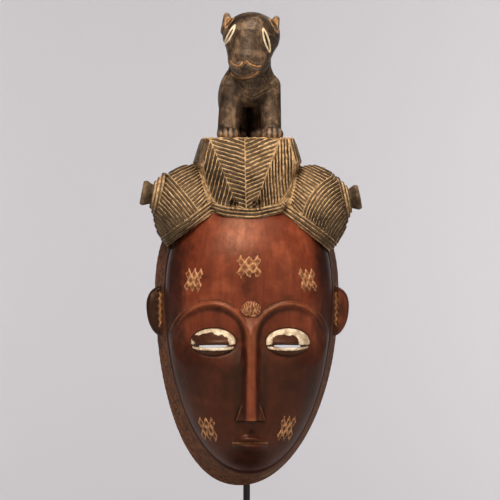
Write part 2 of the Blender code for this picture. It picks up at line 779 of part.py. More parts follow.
def stand_rod():
    """The rod: up behind the chin, bent forward into the hollow, with a bar that the mask hangs on."""
    radius = ROD_DIAMETER / 2
    rod_y = ROD_SETBACK + GAP + radius
    half_bar = CROSS_BAR_LENGTH / 2
    depths = (CROSS_BAR_DEPTH, CROSS_BAR_DEPTH + radius)
    ceiling = min(hollow_ceiling(x, depth) for x in (0.0, half_bar) for depth in depths)
    bar = Vector((0.0, ROD_SETBACK - CROSS_BAR_DEPTH, CHIN_HEIGHT + ceiling - radius - GAP))
    rise = bar.z - (rod_y - bar.y)
    bend_start = rise - ROD_BEND_RADIUS * math.tan(math.pi / 8)
    path = [Vector((0.0, rod_y, FOOT_THICKNESS - SOCKET_DEPTH + GAP))]
    for i in range(6):
        a = math.radians(45) * i / 5
        y = rod_y - ROD_BEND_RADIUS * (1.0 - math.cos(a))
        path.append(Vector((0.0, y, bend_start + ROD_BEND_RADIUS * math.sin(a))))
    path.append(bar)
    bm = bmesh.new()
    tube(bm, path, radius)
    rod = object_from(bm, "stand_rod")
    bm = bmesh.new()
    tube(bm, [bar - Vector((half_bar, 0, 0)), bar + Vector((half_bar, 0, 0))], radius)
    cross_bar = object_from(bm, "cross_bar", helper=True)
    weld = rod.modifiers.new("welded", "BOOLEAN")
    weld.operation = "UNION"
    weld.object = cross_bar
    rod.data.shade_smooth()
    return rod


def stand_foot():
    """The steel plate, with the socket that the rod is set in."""
    bm = bmesh.new()
    bmesh.ops.create_cube(bm, size=1.0)
    matrix = Matrix.Translation((0.0, 0.0, FOOT_THICKNESS / 2))
    matrix @= Matrix.Diagonal((FOOT_WIDTH, FOOT_DEPTH, FOOT_THICKNESS, 1.0))
    bmesh.ops.transform(bm, matrix=matrix, verts=bm.verts)
    foot = object_from(bm, "stand_foot")
    soften = foot.modifiers.new("chamfer", "BEVEL")
    soften.width = FOOT_CHAMFER
    soften.segments = 1
    soften.limit_method = "ANGLE"
    bm = bmesh.new()
    rod_y = ROD_SETBACK + GAP + ROD_DIAMETER / 2
    base = Vector((0.0, rod_y, FOOT_THICKNESS - SOCKET_DEPTH))
    turned(
        bm,
        [(ROD_DIAMETER / 2 + GAP, 0.0), (ROD_DIAMETER / 2 + GAP, 2 * SOCKET_DEPTH)],
        Matrix.Translation(base),
        24,
    )
    socket = object_from(bm, "rod_socket", helper=True)
    cut = foot.modifiers.new("socket", "BOOLEAN")
    cut.operation = "DIFFERENCE"
    cut.object = socket
    return foot


def main():
    clear_scene()
    place = bpy.data.objects.new("mask_place", None)
    place.location = (0.0, ROD_SETBACK, CHIN_HEIGHT)
    bpy.context.scene.collection.objects.link(place)
    for piece in (carve_mask(place), stand_rod(), stand_foot()):
        piece.data.materials.append(finish_of(piece.name))


main()
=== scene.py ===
"""Looks of a carved face mask with a leopard on its coiffure, held on a steel display stand.

The mask is one block of carved and stained wood. It is built as three meshes whose seams are the
carving's own edges, so that each stays light enough. Its surface is the zero level of a solid
field in millimetres, in the mask's own frame: x to the right of someone who faces the mask, d
forward from its flat back, and z up from its lowest point. The cuts, the paint and the dust follow
the same outlines, and reach the material as values on the mesh's points.
"""

import logging
import math
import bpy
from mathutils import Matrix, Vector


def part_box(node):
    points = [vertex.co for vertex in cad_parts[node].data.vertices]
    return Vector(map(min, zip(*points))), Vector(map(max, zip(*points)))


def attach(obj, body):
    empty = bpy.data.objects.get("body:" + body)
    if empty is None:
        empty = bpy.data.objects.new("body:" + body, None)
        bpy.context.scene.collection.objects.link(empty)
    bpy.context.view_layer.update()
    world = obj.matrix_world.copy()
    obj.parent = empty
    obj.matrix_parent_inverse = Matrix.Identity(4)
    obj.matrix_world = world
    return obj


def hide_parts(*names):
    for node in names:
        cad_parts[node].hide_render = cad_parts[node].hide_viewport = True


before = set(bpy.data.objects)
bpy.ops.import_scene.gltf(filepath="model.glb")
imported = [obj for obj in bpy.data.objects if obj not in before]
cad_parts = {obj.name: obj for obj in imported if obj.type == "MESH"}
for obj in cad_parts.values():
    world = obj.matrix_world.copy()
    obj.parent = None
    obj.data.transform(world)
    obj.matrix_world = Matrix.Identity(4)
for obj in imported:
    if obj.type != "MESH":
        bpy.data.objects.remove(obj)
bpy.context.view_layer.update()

from concurrent.futures import ThreadPoolExecutor
from dataclasses import dataclass, field
from enum import IntEnum
from typing import Callable

import bmesh
import bpy
import numpy as np
from mathutils import Vector

log = logging.getLogger("mask")

Array = np.ndarray
Field = Callable[[Array, Array, Array], Array]
Piece = bpy.types.Object
Socket = bpy.types.NodeSocket
Tree = bpy.types.NodeTree

MM = 0.001
FAR = 60.0  # what a field says where no form is near, in millimetres
MOST_TRIANGLES = 195_000
FACE_STEP = 1.2  # grid steps in millimetres: the smooth face, and the finely cut hair and animal
FINE_STEP = 0.7
COARSE = 4  # how many fine steps one step of the first, coarse grid takes
BATCH = 60_000  # how many points are read at a time
THREADS = 4


class Side(IntEnum):
    """The two sides of the mask, for someone who faces it."""

    LEFT = -1
    RIGHT = 1


def smooth_step(low: float, high: float, value: Array) -> Array:
    """Rises smoothly from 0 at low to 1 at high.

    Args:
        low: where the rise starts; it may be above high, for a fall.
        high: where the rise ends.
        value: the values to read.

    Returns:
        Values from 0 to 1.
    """
    share = np.clip((value - low) / (high - low), 0.0, 1.0)
    return share * share * (3.0 - 2.0 * share)


def bell(value: Array, centre: float, width: float) -> Array:
    """A smooth bump of height 1 at the centre."""
    return np.exp(-(((value - centre) / width) ** 2))


def melt(a: Array, b: Array, radius: float) -> Array:
    """Joins two fields with a fillet of about the radius between them."""
    blend = np.clip(0.5 + 0.5 * (b - a) / radius, 0.0, 1.0)
    return b + (a - b) * blend - radius * blend * (1.0 - blend)


def cut(a: Array, b: Array, radius: float) -> Array:
    """Takes form b out of form a, with the edge rounded by about the radius."""
    return -melt(-a, b, radius)


def ball(x: Array, d: Array, z: Array, centre: tuple, radii: tuple) -> Array:
    """The field of an ellipsoid.

    Args:
        x, d, z: where the field is read.
        centre: the ellipsoid's centre.
        radii: its three half axes.

    Returns:
        About the distance to its surface, negative inside.
    """
    px, pd, pz = (x - centre[0]) / radii[0], (d - centre[1]) / radii[1], (z - centre[2]) / radii[2]
    level = np.sqrt(px * px + pd * pd + pz * pz) + 1e-6
    slope = np.sqrt((px / radii[0]) ** 2 + (pd / radii[1]) ** 2 + (pz / radii[2]) ** 2) + 1e-6
    return level * (level - 1.0) / slope


def limb(x: Array, d: Array, z: Array, start: tuple, end: tuple, radii: tuple) -> Array:
    """The field of a tapered limb with round ends.

    Args:
        x, d, z: where the field is read.
        start: the middle of one end.
        end: the middle of the other end.
        radii: the radius at each end.

    Returns:
        About the distance to its surface, negative inside.
    """
    ax, ad, az = (e - s for s, e in zip(start, end))
    px, pd, pz = x - start[0], d - start[1], z - start[2]
    share = np.clip((px * ax + pd * ad + pz * az) / (ax * ax + ad * ad + az * az), 0.0, 1.0)
    out = np.sqrt((px - share * ax) ** 2 + (pd - share * ad) ** 2 + (pz - share * az) ** 2)
    return out - (radii[0] + (radii[1] - radii[0]) * share)


def from_path(x: Array, z: Array, path: tuple) -> Array:
    """Distance in front view from a path of straight stretches.

    Args:
        x, z: where the distance is read.
        path: the path's corners, as (x, z).

    Returns:
        The distance to the nearest stretch.
    """
    nearest = np.full(x.shape, FAR)
    for (ax, az), (bx, bz) in zip(path, path[1:]):
        ux, uz = bx - ax, bz - az
        share = np.clip(((x - ax) * ux + (z - az) * uz) / (ux * ux + uz * uz), 0.0, 1.0)
        nearest = np.minimum(nearest, np.hypot(x - ax - share * ux, z - az - share * uz))
    return nearest


def groove(distance: Array, half_width: float) -> Array:
    """A rounded V in section: 1 in its bottom, and 0 from the half width out."""
    return np.clip(1.0 - np.abs(distance) / half_width, 0.0, 1.0) ** 0.8


def combed(phase: Array, open_share: float) -> Array:
    """Parallel grooves, one for each whole step of the phase.

    Args:
        phase: which rises by 1 from one groove to the next.
        open_share: how much of each step is groove.

    Returns:
        1 in the bottom of each groove, and 0 on the ridges.
    """
    off = np.abs(phase - np.round(phase))
    return np.clip(1.0 - 2.0 * off / open_share, 0.0, 1.0) ** 0.8


def waver(x: Array, z: Array, size: float, seed: int) -> Array:
    """The unsteady hand of a carver: a smooth wandering value from about -1 to 1.

    Args:
        x, z: where it is read.
        size: how far apart its swells are.
        seed: which of many such surfaces.

    Returns:
        The wandering value.
    """
    draw = np.random.default_rng(seed)
    total = np.zeros(x.shape)
    for _ in range(4):
        angle, shift = draw.uniform(0.0, 2.0 * math.pi, 2)
        pace = 2.0 * math.pi / size * draw.uniform(0.7, 1.4)
        total += np.sin(pace * (x * math.cos(angle) + z * math.sin(angle)) + shift)
    return total / 2.8


@dataclass(frozen=True)
class Egg:
    """A closed outline round the mask's widest line, longer below it than above."""

    half_width: float
    below: float
    above: float
    fullness: float
    widest_z: float = 185.0

    def drop(self, z: Array) -> Array:
        """How far a height is from the widest line, as a share of the outline's height there."""
        up = z - self.widest_z
        return up / (self.below + (self.above - self.below) * smooth_step(-70.0, 70.0, up))

    def reach(self, x: Array, z: Array) -> Array:
        """How far out a place is: 0 in the middle and 1 on the outline."""
        return (np.abs(x / self.half_width) ** self.fullness + self.drop(z) ** 2) ** (1.0 / 2.04)


@dataclass(frozen=True)
class ScarPatch:
    """A patch of raised diamonds on the skin, in a lattice."""

    centre: tuple
    size: tuple
    lean: float

    def lattice(self, x: Array, z: Array) -> tuple[Array, Array]:
        """The patch's own coordinates: columns across and rows up.

        Args:
            x, z: where it is read.

        Returns:
            How far across and up it is, as shares of the patch's size.
        """
        up = (z - self.centre[1]) / self.size[1]
        across = (x - self.centre[0] - self.lean * up) / self.size[0]
        return across, up

    def diamonds(self, x: Array, z: Array) -> Array:
        """1 on top of each diamond and 0 in the cuts between them and outside the patch.

        Args:
            x, z: where it is read.

        Returns:
            Values from 0 to 1.
        """
        across, up = self.lattice(x, z)
        column, row = across * 3.0, up * 2.0
        from_middle = [np.abs(turn - np.floor(turn) - 0.5) for turn in (column + row, column - row)]
        return smooth_step(0.48, 0.18, np.maximum(*from_middle)) * self.inside(x, z)

    def inside(self, x: Array, z: Array) -> Array:
        """1 in the diamonds that belong to the patch: rows of three, two and three.

        Args:
            x, z: where it is read.

        Returns:
            1 inside and 0 outside.
        """
        across, up = self.lattice(x, z)
        rising, falling = np.floor(across * 3.0 + up * 2.0), np.floor(across * 3.0 - up * 2.0)
        column, row = (rising + falling + 1.0) / 2.0, (rising - falling) / 2.0
        return ((np.abs(column) < 1.2) & (np.abs(row) < 0.8)).astype(float)


SCARS = (
    ScarPatch((-2.2, 209.5), (23.0, 21.0), 0.0),
    ScarPatch((-53.5, 197.0), (16.0, 22.5), 3.0),
    ScarPatch((53.6, 197.0), (16.0, 22.5), -4.0),
    ScarPatch((-39.5, 56.5), (15.0, 23.5), -5.5),
    ScarPatch((34.5, 57.0), (15.0, 24.0), 5.5),
)


@dataclass(frozen=True)
class FaceBlock:
    """The block that carries the face: flat back, sloping band, domed front, hollow and ears.

    The face is the maker's own calm design on simple shares of the face's height.
    """

    board: Egg = Egg(88.0, 185.0, 120.0, 2.16)
    plate: Egg = Egg(80.0, 172.0, 112.0, 2.08)
    inner: Egg = Egg(76.0, 173.0, 108.0, 2.16)
    lean: float = 7.0
    band_depth: float = 38.0
    edge_depth: float = 40.0
    edge_rise: float = 6.0
    dome_share: float = 0.984
    rise: float = 57.0
    bulge: float = 4.0
    hollow_floor: float = 80.0
    hairline_z: float = 254.0
    hair_x: float = -3.4
    cusp_x: float = 32.5
    cusp_rise: float = 6.0
    hair_slope: float = 0.745
    chin_z: float = 23.0
    nose_share: float = 0.18
    mouth_share: float = 0.09
    brow_radius: float = 37.0
    eye_x: float = 35.0
    eye_half: tuple = (21.0, 13.0)
    slit_half: tuple = (14.0, 1.7)
    nose_rise: float = 17.0
    mouth_half: float = 17.0
    tuft_rise: float = 31.0
    tuft_half: tuple = (10.0, 7.5)
    ear_centre: tuple = (80.0, 21.0, 167.0)
    ear_half: tuple = (16.2, 7.2, 24.0)
    ear_cut_x: float = 83.6
    scars: tuple = SCARS

    @property
    def eye_z(self) -> float:
        """The eye line, at half the face's height."""
        return (self.chin_z + self.hairline_z) / 2.0

    @property
    def nose_z(self) -> float:
        """The base of the nose."""
        return self.chin_z + self.nose_share * (self.hairline_z - self.chin_z)

    @property
    def mouth_z(self) -> float:
        """The line between the lips."""
        return self.chin_z + self.mouth_share * (self.hairline_z - self.chin_z)

    def hairline(self, x: Array) -> Array:
        """Height of the hairline: a shallow arc over the forehead, then a slope to each ear.

        Args:
            x: where it is read.

        Returns:
            The height in millimetres.
        """
        out = np.abs(x - self.hair_x)
        arc = self.hairline_z + self.cusp_rise * (out / self.cusp_x) ** 2
        slope = self.hairline_z + self.cusp_rise - (out - self.cusp_x) * self.hair_slope
        return np.where(out < self.cusp_x, arc, slope)

    def above_hairline(self, x: Array, z: Array) -> Array:
        """How far a place is above the hairline, measured square to it."""
        return (z - self.hairline(x)) * np.where(np.abs(x - self.hair_x) < self.cusp_x, 1.0, 0.80)

    def brows(self, x: Array, z: Array) -> Array:
        """A rolled brow on a circle round each eye, with the socket sunk inside it.

        Args:
            x, z: where it is read.

        Returns:
            How far it stands forward of the dome, in millimetres.
        """
        out = np.hypot(np.abs(x) - self.brow_radius, z - self.eye_z)
        above_cheek = smooth_step(self.eye_z - 27.0, self.eye_z + 5.0, z)
        socket = 5.2 * smooth_step(self.brow_radius, self.brow_radius - 8.0, out)
        socket = socket * smooth_step(0.5, 10.0, np.abs(x))
        roll = 2.1 * bell(out, self.brow_radius - 1.6, 2.5) * smooth_step(2.0, 10.0, np.abs(x))
        above = smooth_step(self.eye_z + 2.0, self.eye_z + 10.0, z) * smooth_step(11.0, 17.0, np.abs(x))
        line = 0.7 * groove(out - self.brow_radius - 2.0, 1.1) * above
        return (roll - socket) * above_cheek - line

    def lid_level(self, x: Array, z: Array) -> Array:
        """0 in the middle of an eye and 1 on the edge of its lid.

        Args:
            x, z: where it is read.

        Returns:
            Values from 0 up.
        """
        across = (np.abs(x) - self.eye_x) / self.eye_half[0]
        up = (z - self.eye_z) / self.eye_half[1]
        return np.hypot(across, up)

    def eyes(self, x: Array, z: Array) -> Array:
        """A domed lid in each socket, with a rolled rim above and below the slit.

        Args:
            x, z: where it is read.

        Returns:
            How far it stands forward of the dome, in millimetres.
        """
        dome = 5.4 * np.clip(1.0 - self.lid_level(x, z) ** 2, 0.0, 1.0) ** 0.6
        across = (np.abs(x) - self.eye_x) / (self.slit_half[0] + 3.0)
        off = z - self.slit_z(x)
        rim = 0.9 * bell(np.abs(off), self.slit_half[1] + 1.6, 1.5) * np.clip(1.0 - across**2, 0.0, 1.0)
        crease = 0.6 * groove((self.lid_level(x, z) - 1.02) * self.eye_half[1], 1.4)
        return dome + rim - crease

    def slit_z(self, x: Array) -> Array:
        """Height of the slit's middle, which dips a little towards its middle."""
        across = (np.abs(x) - self.eye_x) / self.slit_half[0]
        return self.eye_z - 3.6 + 0.8 * np.clip(across, -1.3, 1.3) ** 2

    def nose(self, x: Array, z: Array) -> Array:
        """A long straight nose from the brows to a flat base, with a rounded ridge and two wings.

        Args:
            x, z: where it is read.

        Returns:
            How far it stands forward of the dome, in millimetres.
        """
        root = self.eye_z + 20.0
        down = np.clip((root - z) / (root - self.nose_z), 0.0, 1.0)
        rise = (5.6 + (self.nose_rise - 5.6) * down) * smooth_step(root + 8.0, root - 14.0, z)
        half = 5.0 + 3.0 * down**1.5 + 4.5 * smooth_step(root - 18.0, root + 6.0, z)
        body = rise * np.exp(-((np.abs(x) / half) ** 2.7))
        up = np.clip((z - self.nose_z) / 17.0, 0.0, 1.0)
        wing_out = (np.abs(x) - 9.4 + 2.2 * up) / (5.2 - 2.0 * up)
        wing = 9.0 * np.clip(1.0 - wing_out**2, 0.0, 1.0) ** 0.55 * (1.0 - up**1.5)
        under = smooth_step(self.nose_z - 0.7, self.nose_z + 0.7, z)
        return (body**4 + wing**4) ** 0.25 * under

    def mouth(self, x: Array, z: Array) -> Array:
        """Two small closed lips on a low mound, with the groove from the nose above them.

        Args:
            x, z: where it is read.

        Returns:
            How far it stands forward of the dome, in millimetres.
        """
        across = np.clip(np.abs(x) / self.mouth_half, 0.0, 1.0)
        fall = (1.0 - across**2) ** 0.7
        up = z - self.mouth_z
        mound = 5.4 * bell(x, 0.0, 21.0) * bell(z, self.mouth_z, 12.0)
        bow = 0.6 + 2.8 * (1.0 - across**1.6) + 0.4 * bell(np.abs(x), 5.0, 3.6)
        upper = 3.2 * bell(up, bow, 2.8)
        lower = 3.9 * bell(up, -0.8 - 3.4 * (1.0 - across**2), 3.4)
        parted = 1.9 * groove(up, 1.5) * np.clip(1.15 - across**2, 0.0, 1.0)
        philtrum = 1.5 * bell(x, 0.0, 2.4) * bell(z, self.mouth_z + 12.0, 4.0)
        chin = 1.6 * bell(x, 0.0, 14.0) * bell(z, self.chin_z + 3.0, 7.0)
        lips = np.where(up > 0.0, upper, lower) * fall
        return mound + lips + chin - parted - philtrum

    def tuft(self, x: Array, z: Array) -> Array:
        """1 inside the small fan of combed hair between the brows, falling to 0 at its edge."""
        across, up = x / self.tuft_half[0], (z - self.eye_z - self.tuft_rise) / self.tuft_half[1]
        return np.clip(1.0 - across**2 - up**2, 0.0, 1.0) ** 0.5

    def relief(self, x: Array, z: Array) -> Array:
        """How far the carving of the face stands in front of the plain dome.

        Args:
            x, z: where it is read.

        Returns:
            How far it stands forward of the dome, in millimetres.
        """
        forehead = self.bulge * bell(z, 215.0, 32.0) * bell(x, 0.0, 60.0)
        features = self.brows(x, z) + self.eyes(x, z) + self.nose(x, z) + self.mouth(x, z)
        scars = sum(patch.diamonds(x, z) for patch in self.scars)
        fan = self.tuft(x, z) * (2.4 - 0.7 * self.tuft_lines(x, z))
        return forehead + features + fan + 1.4 * scars

    def band(self, x: Array, d: Array, z: Array) -> Array:
        """The sloping band between the flat back and the face's edge.

        Args:
            x, d, z: where it is read.

        Returns:
            The field, negative inside.
        """
        share = np.clip(d / self.band_depth, 0.0, 1.0)
        a, b = self.board, self.plate
        width = a.half_width + (b.half_width - a.half_width) * share
        low = np.clip(a.widest_z - z, 0.0, None) / a.below
        leaned = x + self.lean * (1.0 - share) * low**2.5
        drop = a.drop(z) + (b.drop(z) - a.drop(z)) * share
        level = (np.abs(leaned / width) ** 2.12 + drop**2) ** (1.0 / 2.06)
        side = (level - 1.0) * width * 0.92
        return np.maximum(side, np.maximum(d - self.band_depth, -d))

    def tuft_lines(self, x: Array, z: Array) -> Array:
        """1 in the cuts that fan out over the tuft."""
        turn = np.arctan2(x, z - self.eye_z - 16.0)
        return combed(turn / 0.115, 0.7)

    def front(self, x: Array, d: Array, z: Array, lift: float = 0.0) -> Array:
        """The face's dome with its carving.

        Args:
            x, d, z: where the field is read.
            lift: how far in front of the skin the surface stands.

        Returns:
            The field, negative inside.
        """
        reach = self.plate.reach(x, z)
        ahead = np.clip(d - self.edge_depth - self.relief(x, z) - lift, 0.0, None) / self.rise
        level = ((reach / self.dome_share) ** 2.4 + ahead**2) ** (1.0 / 2.2)
        dome = np.maximum((level - 1.0) * self.rise, -d)
        bevel = (d - self.edge_depth - (1.0 - reach) * self.plate.half_width) * 0.7
        edge = np.maximum.reduce([(reach - 1.0) * 72.0, bevel, d - self.edge_depth - self.edge_rise, -d])
        return melt(dome, edge, 0.8)

    def ear(self, x: Array, d: Array, z: Array) -> Array:
        """Both C-shaped ears: full above, drawn in below, with a zigzag cut along the inner edge.

        Args:
            x, d, z: where it is read.

        Returns:
            The field, negative inside.
        """
        out = np.abs(x)
        (middle_x, middle_d, middle_z), (half_x, half_d, half_z) = self.ear_centre, self.ear_half
        full = half_x + 2.2 * (z - middle_z) / half_z
        shape = ((np.abs(out - middle_x) / full) ** 2.3 + (np.abs(z - middle_z) / half_z) ** 2.3
                 + (np.abs(d - middle_d) / half_d) ** 3.0) ** (1.0 / 2.4)
        dip = 1.6 * bell(out, 88.5, 3.4) * bell(z, 170.0, 13.0) * (d > 20.0)
        return (shape - 1.0) * 8.0 + dip + 1.8 * self.ear_cut(x, d, z)

    def ear_cut(self, x: Array, d: Array, z: Array) -> Array:
        """1 in the zigzag cut where the ear meets the head.

        Args:
            x, d, z: where it is read.

        Returns:
            Values from 0 to 1.
        """
        zigzag = 1.3 * (2.0 * np.abs((z / 6.4) % 1.0 - 0.5) - 0.5)
        near = groove(np.abs(x) - self.ear_cut_x - zigzag, 2.6)
        return near * smooth_step(151.0, 155.0, z) * smooth_step(189.0, 184.0, z) * (d > 22.0)

    def hollow(self, x: Array, d: Array, z: Array) -> Array:
        """The hollow behind the face.

        Args:
            x, d, z: where it is read.

        Returns:
            The field, negative inside.
        """
        back = np.clip(d, 0.0, None) / self.hollow_floor
        level = (self.inner.reach(x, z) ** 2.08 + back**2.38) ** (1.0 / 2.2)
        return (level - 1.0) * self.hollow_floor * 0.9

    def slits(self, x: Array, d: Array, z: Array) -> Array:
        """The two slits to look through, which fall a little towards the back.

        Args:
            x, d, z: where it is read.

        Returns:
            The field, negative inside.
        """
        across = (np.abs(x) - self.eye_x) / self.slit_half[0]
        fall = 0.045 * (95.0 - d)
        up = (z - self.slit_z(x) + fall) / self.slit_half[1]
        return np.maximum((np.hypot(across, up) - 1.0) * self.slit_half[1], 30.0 - d)

    def form(self, x: Array, d: Array, z: Array) -> Array:
        """The field of the whole face block.

        Args:
            x, d, z: where it is read.

        Returns:
            The field, negative inside.
        """
        block = melt(self.band(x, d, z), self.front(x, d, z), 1.2)
        block = melt(block, self.ear(x, d, z), 1.6)
        return cut(cut(block, self.hollow(x, d, z), 2.0), self.slits(x, d, z), 0.9)


@dataclass(frozen=True)
class Coiffure:
    """The combed hair: a tall crest between two buns, each with a coil and a knob at its side."""

    face: FaceBlock
    platform_z: float = 331.0
    crest_x: float = -1.3
    heights: tuple = (236.0, 252.0, 264.0, 272.0, 284.0, 296.0, 302.0, 308.0, 324.0, 331.0)
    half_widths: tuple = (27.0, 30.5, 35.5, 39.0, 41.5, 43.5, 46.0, 50.8, 46.0, 43.2)
    fronts: tuple = (82.0, 85.0, 88.5, 91.0, 93.0, 93.0, 92.0, 90.5, 86.0, 82.5)
    backs: tuple = (4.0, 3.0, 2.0, 2.0, 2.0, 2.0, 2.0, 2.0, 3.0, 6.0)
    bun_x: float = 58.0
    bun_shift: float = 2.0
    bun_centre: tuple = (42.0, 262.0)
    bun_radii: tuple = (35.0, 42.0, 44.0)
    knob_z: float = 275.0
    knob_drop: float = 2.0
    knob_tilt: float = 11.0
    rings: tuple = ((20.6, -4.8), (16.2, -1.8), (12.0, 0.8))
    coil_creases: tuple = (23.2, 18.4, 14.1, 10.0)
    knob_stations: tuple = (-6.0, 2.0, 4.5, 10.0, 13.0)
    knob_radii: tuple = (10.2, 9.6, 9.8, 12.4, 11.4)
    shield_x: float = -5.0
    shield_half: float = 43.0
    fold_foot_z: float = 263.0
    curl_at: tuple = (11.6, 86.4, 264.6)
    curl_half: tuple = (2.4, 3.2, 3.0)
    pit_at: tuple = (11.4, 91.0, 266.8)
    pit_half: tuple = (4.8, 7.0, 5.8)
    cap_lift: float = 2.2
    cut_depth: float = 1.0
    band_height: float = 10.4
    band_cuts: tuple = ((-0.2, 1.7), (2.6, 1.0), (6.2, 1.1), (9.4, 1.4))
    parting: tuple = (52.0, 259.0)
    parting_way: tuple = (0.62, 0.785)
    bun_step: float = 3.3
    fillets: tuple = (2.4, 2.4, 6.0, 6.0)

    def fold(self, z: Array) -> Array:
        """How far the shield's fold lines stand from its middle line."""
        return 7.0 + 0.385 * (z - self.fold_foot_z)

    def shield_edge(self, x: Array, z: Array) -> Array:
        """How far inside the shield's border a place is.

        Args:
            x, z: where it is read.

        Returns:
            Millimetres, negative outside the border.
        """
        half = self.shield_half - 13.0 * (np.clip(306.0 - z, 0.0, None) / 36.0) ** 2
        half = half - 5.0 * smooth_step(306.0, 331.0, z)
        middle = self.crest_x - 2.4 * smooth_step(290.0, 264.0, z)
        side = half - np.abs(x - middle)
        return np.minimum(side, self.face.above_hairline(x, z) - 9.5)

    def crest(self, x: Array, d: Array, z: Array) -> Array:
        """The crest's block, whose front folds back beside the shield's middle panel.

        Args:
            x, d, z: where it is read.

        Returns:
            The field, negative inside.
        """
        half = np.interp(z, self.heights, self.half_widths)
        front = np.interp(z, self.heights, self.fronts)
        back = np.interp(z, self.heights, self.backs)
        beyond = np.clip(np.abs(x - self.shield_x) - self.fold(z), 0.0, None)
        ahead = d + smooth_step(262.0, 275.0, z) * (0.30 * beyond + 1.2 * bell(x, self.shield_x, 6.0))
        middle, depth = (front + back) / 2.0, (front - back) / 2.0
        across = np.abs((x - self.crest_x) / half)
        level = (across**7.0 + np.abs((ahead - middle) / depth) ** 7.0) ** (1.0 / 7.0)
        ends = np.maximum(z - self.platform_z, 236.0 - z)
        form = cut((level - 1.0) * np.minimum(half, depth), -ends, 1.6)
        for side in Side:
            curl = ball(x, ahead, z, self.beside(side, self.curl_at), self.curl_half)
            form = np.minimum(cut(form, self.pit(side, x, ahead, z), 0.8), curl)
        return form

    def beside(self, side: Side, place: tuple) -> tuple:
        """A place that is given from the shield's middle line outwards, on one side of it."""
        return (self.shield_x + side * place[0], *place[1:])

    def pit(self, side: Side, x: Array, d: Array, z: Array) -> Array:
        """The dark pit low in the shield, in which a curl of hair stands."""
        return ball(x, d, z, self.beside(side, self.pit_at), self.pit_half)

    def bun(self, side: Side, x: Array, d: Array, z: Array) -> Array:
        """One bun."""
        centre = (side * self.bun_x + self.bun_shift, *self.bun_centre)
        return ball(x, d, z, centre, self.bun_radii)

    def about_knob(self, side: Side, x: Array, d: Array, z: Array) -> tuple[Array, Array, Array]:
        """Place a point about a knob's axis.

        Args:
            side: which side of the mask.
            x, d, z: the place.

        Returns:
            How far out along the axis it is, how far from the axis, and the angle round it.
        """
        tip_x = side * (self.bun_x + self.bun_radii[0] - 2.5) + self.bun_shift
        tip_z = self.knob_z - side * self.knob_drop
        tilt = math.radians(self.knob_tilt)
        out, up, ahead = side * (x - tip_x), z - tip_z, d - self.bun_centre[0]
        along = out * math.cos(tilt) + up * math.sin(tilt)
        rise = up * math.cos(tilt) - out * math.sin(tilt)
        return along, np.hypot(rise, ahead), np.arctan2(rise, ahead)

    def knob(self, side: Side, x: Array, d: Array, z: Array) -> Array:
        """The coil of hair at a bun's side, three rings that step outwards, and its flared knob.

        Args:
            side: which side of the mask.
            x, d, z: where it is read.

        Returns:
            The field, negative inside.
        """
        along, out, turn = self.about_knob(side, x, d, z)
        rings = np.full(x.shape, FAR)
        for radius, height in self.rings:
            rings = np.minimum(rings, np.hypot(out - radius, along - height) - 2.5)
        core = np.maximum(np.maximum(out - 19.0, along + 2.6), -20.0 - along)
        core = melt(core, np.maximum(np.maximum(out - 12.0, along - 0.6), -20.0 - along), 1.0)
        facet = 1.0 + 0.05 * np.cos(6.0 * turn)
        flare = np.interp(along, self.knob_stations, self.knob_radii) * facet
        spool = np.maximum(out - flare, np.maximum(along - 13.0, -14.0 - along))
        dish = np.hypot(out, along - 19.6) - 9.8
        return melt(melt(rings, core, 0.8), cut(spool, dish, 1.0), 1.0)

    def band_lines(self, x: Array, z: Array) -> Array:
        """The two cuts of the plaited band along the hairline, and the parting above it."""
        lift = self.face.above_hairline(x, z) + 0.35 * waver(x, z, 34.0, 3)
        return np.maximum.reduce([groove(lift - at, width) for at, width in self.band_cuts])

    def forms(self, x: Array, d: Array, z: Array) -> list[tuple[Array, Array]]:
        """The parts of the coiffure, each with the cuts in its surface.

        Args:
            x, d, z: where they are read.

        Returns:
            For the cap, the crest, and each bun with its knob: its field, and its cuts from 0 to 1.
        """
        lift = self.face.above_hairline(x, z)
        band = self.band_lines(x, z)
        on_band = lift < self.band_height
        cap = cut(self.face.front(x, d, z, self.cap_lift), lift, 1.2)
        cap = cut(cap, d - 46.0, 2.0)
        bun_lines = np.where(on_band, band, self.bun_lines(x, z))
        under = lift + np.clip(44.0 - d, 0.0, None)
        inside = self.shield_edge(x, z)
        flank = 0.42 * combed(inside / 2.7 + 0.12 * waver(x, z, 24.0, 9), 0.55)
        shield = np.where(inside > 0.0, self.shield_lines(x, z), flank)
        border = groove(inside, 1.5) * (0.35 + 0.65 * smooth_step(316.0, 300.0, z))
        shield = np.maximum(shield, border) * (d > 60.0) * smooth_step(331.5, 330.0, z)
        shield = shield * smooth_step(-0.4, 0.8, np.minimum(*(self.pit(side, x, d, z) for side in Side)))
        crest = cut(self.crest(x, d, z), np.where(d > 60.0, lift - 0.3, FAR), 1.2)
        found = [(cap, bun_lines), (crest, np.where(on_band & (d > 60.0), band, shield))]
        for side in Side:
            bun = self.bun(side, x, d, z)
            coil = self.knob(side, x, d, z)
            form = melt(cut(bun, under, 1.2), coil, 0.8)
            lines = np.where(coil < bun, self.coil_lines(side, x, d, z), bun_lines)
            found.append((form, lines))
        return found

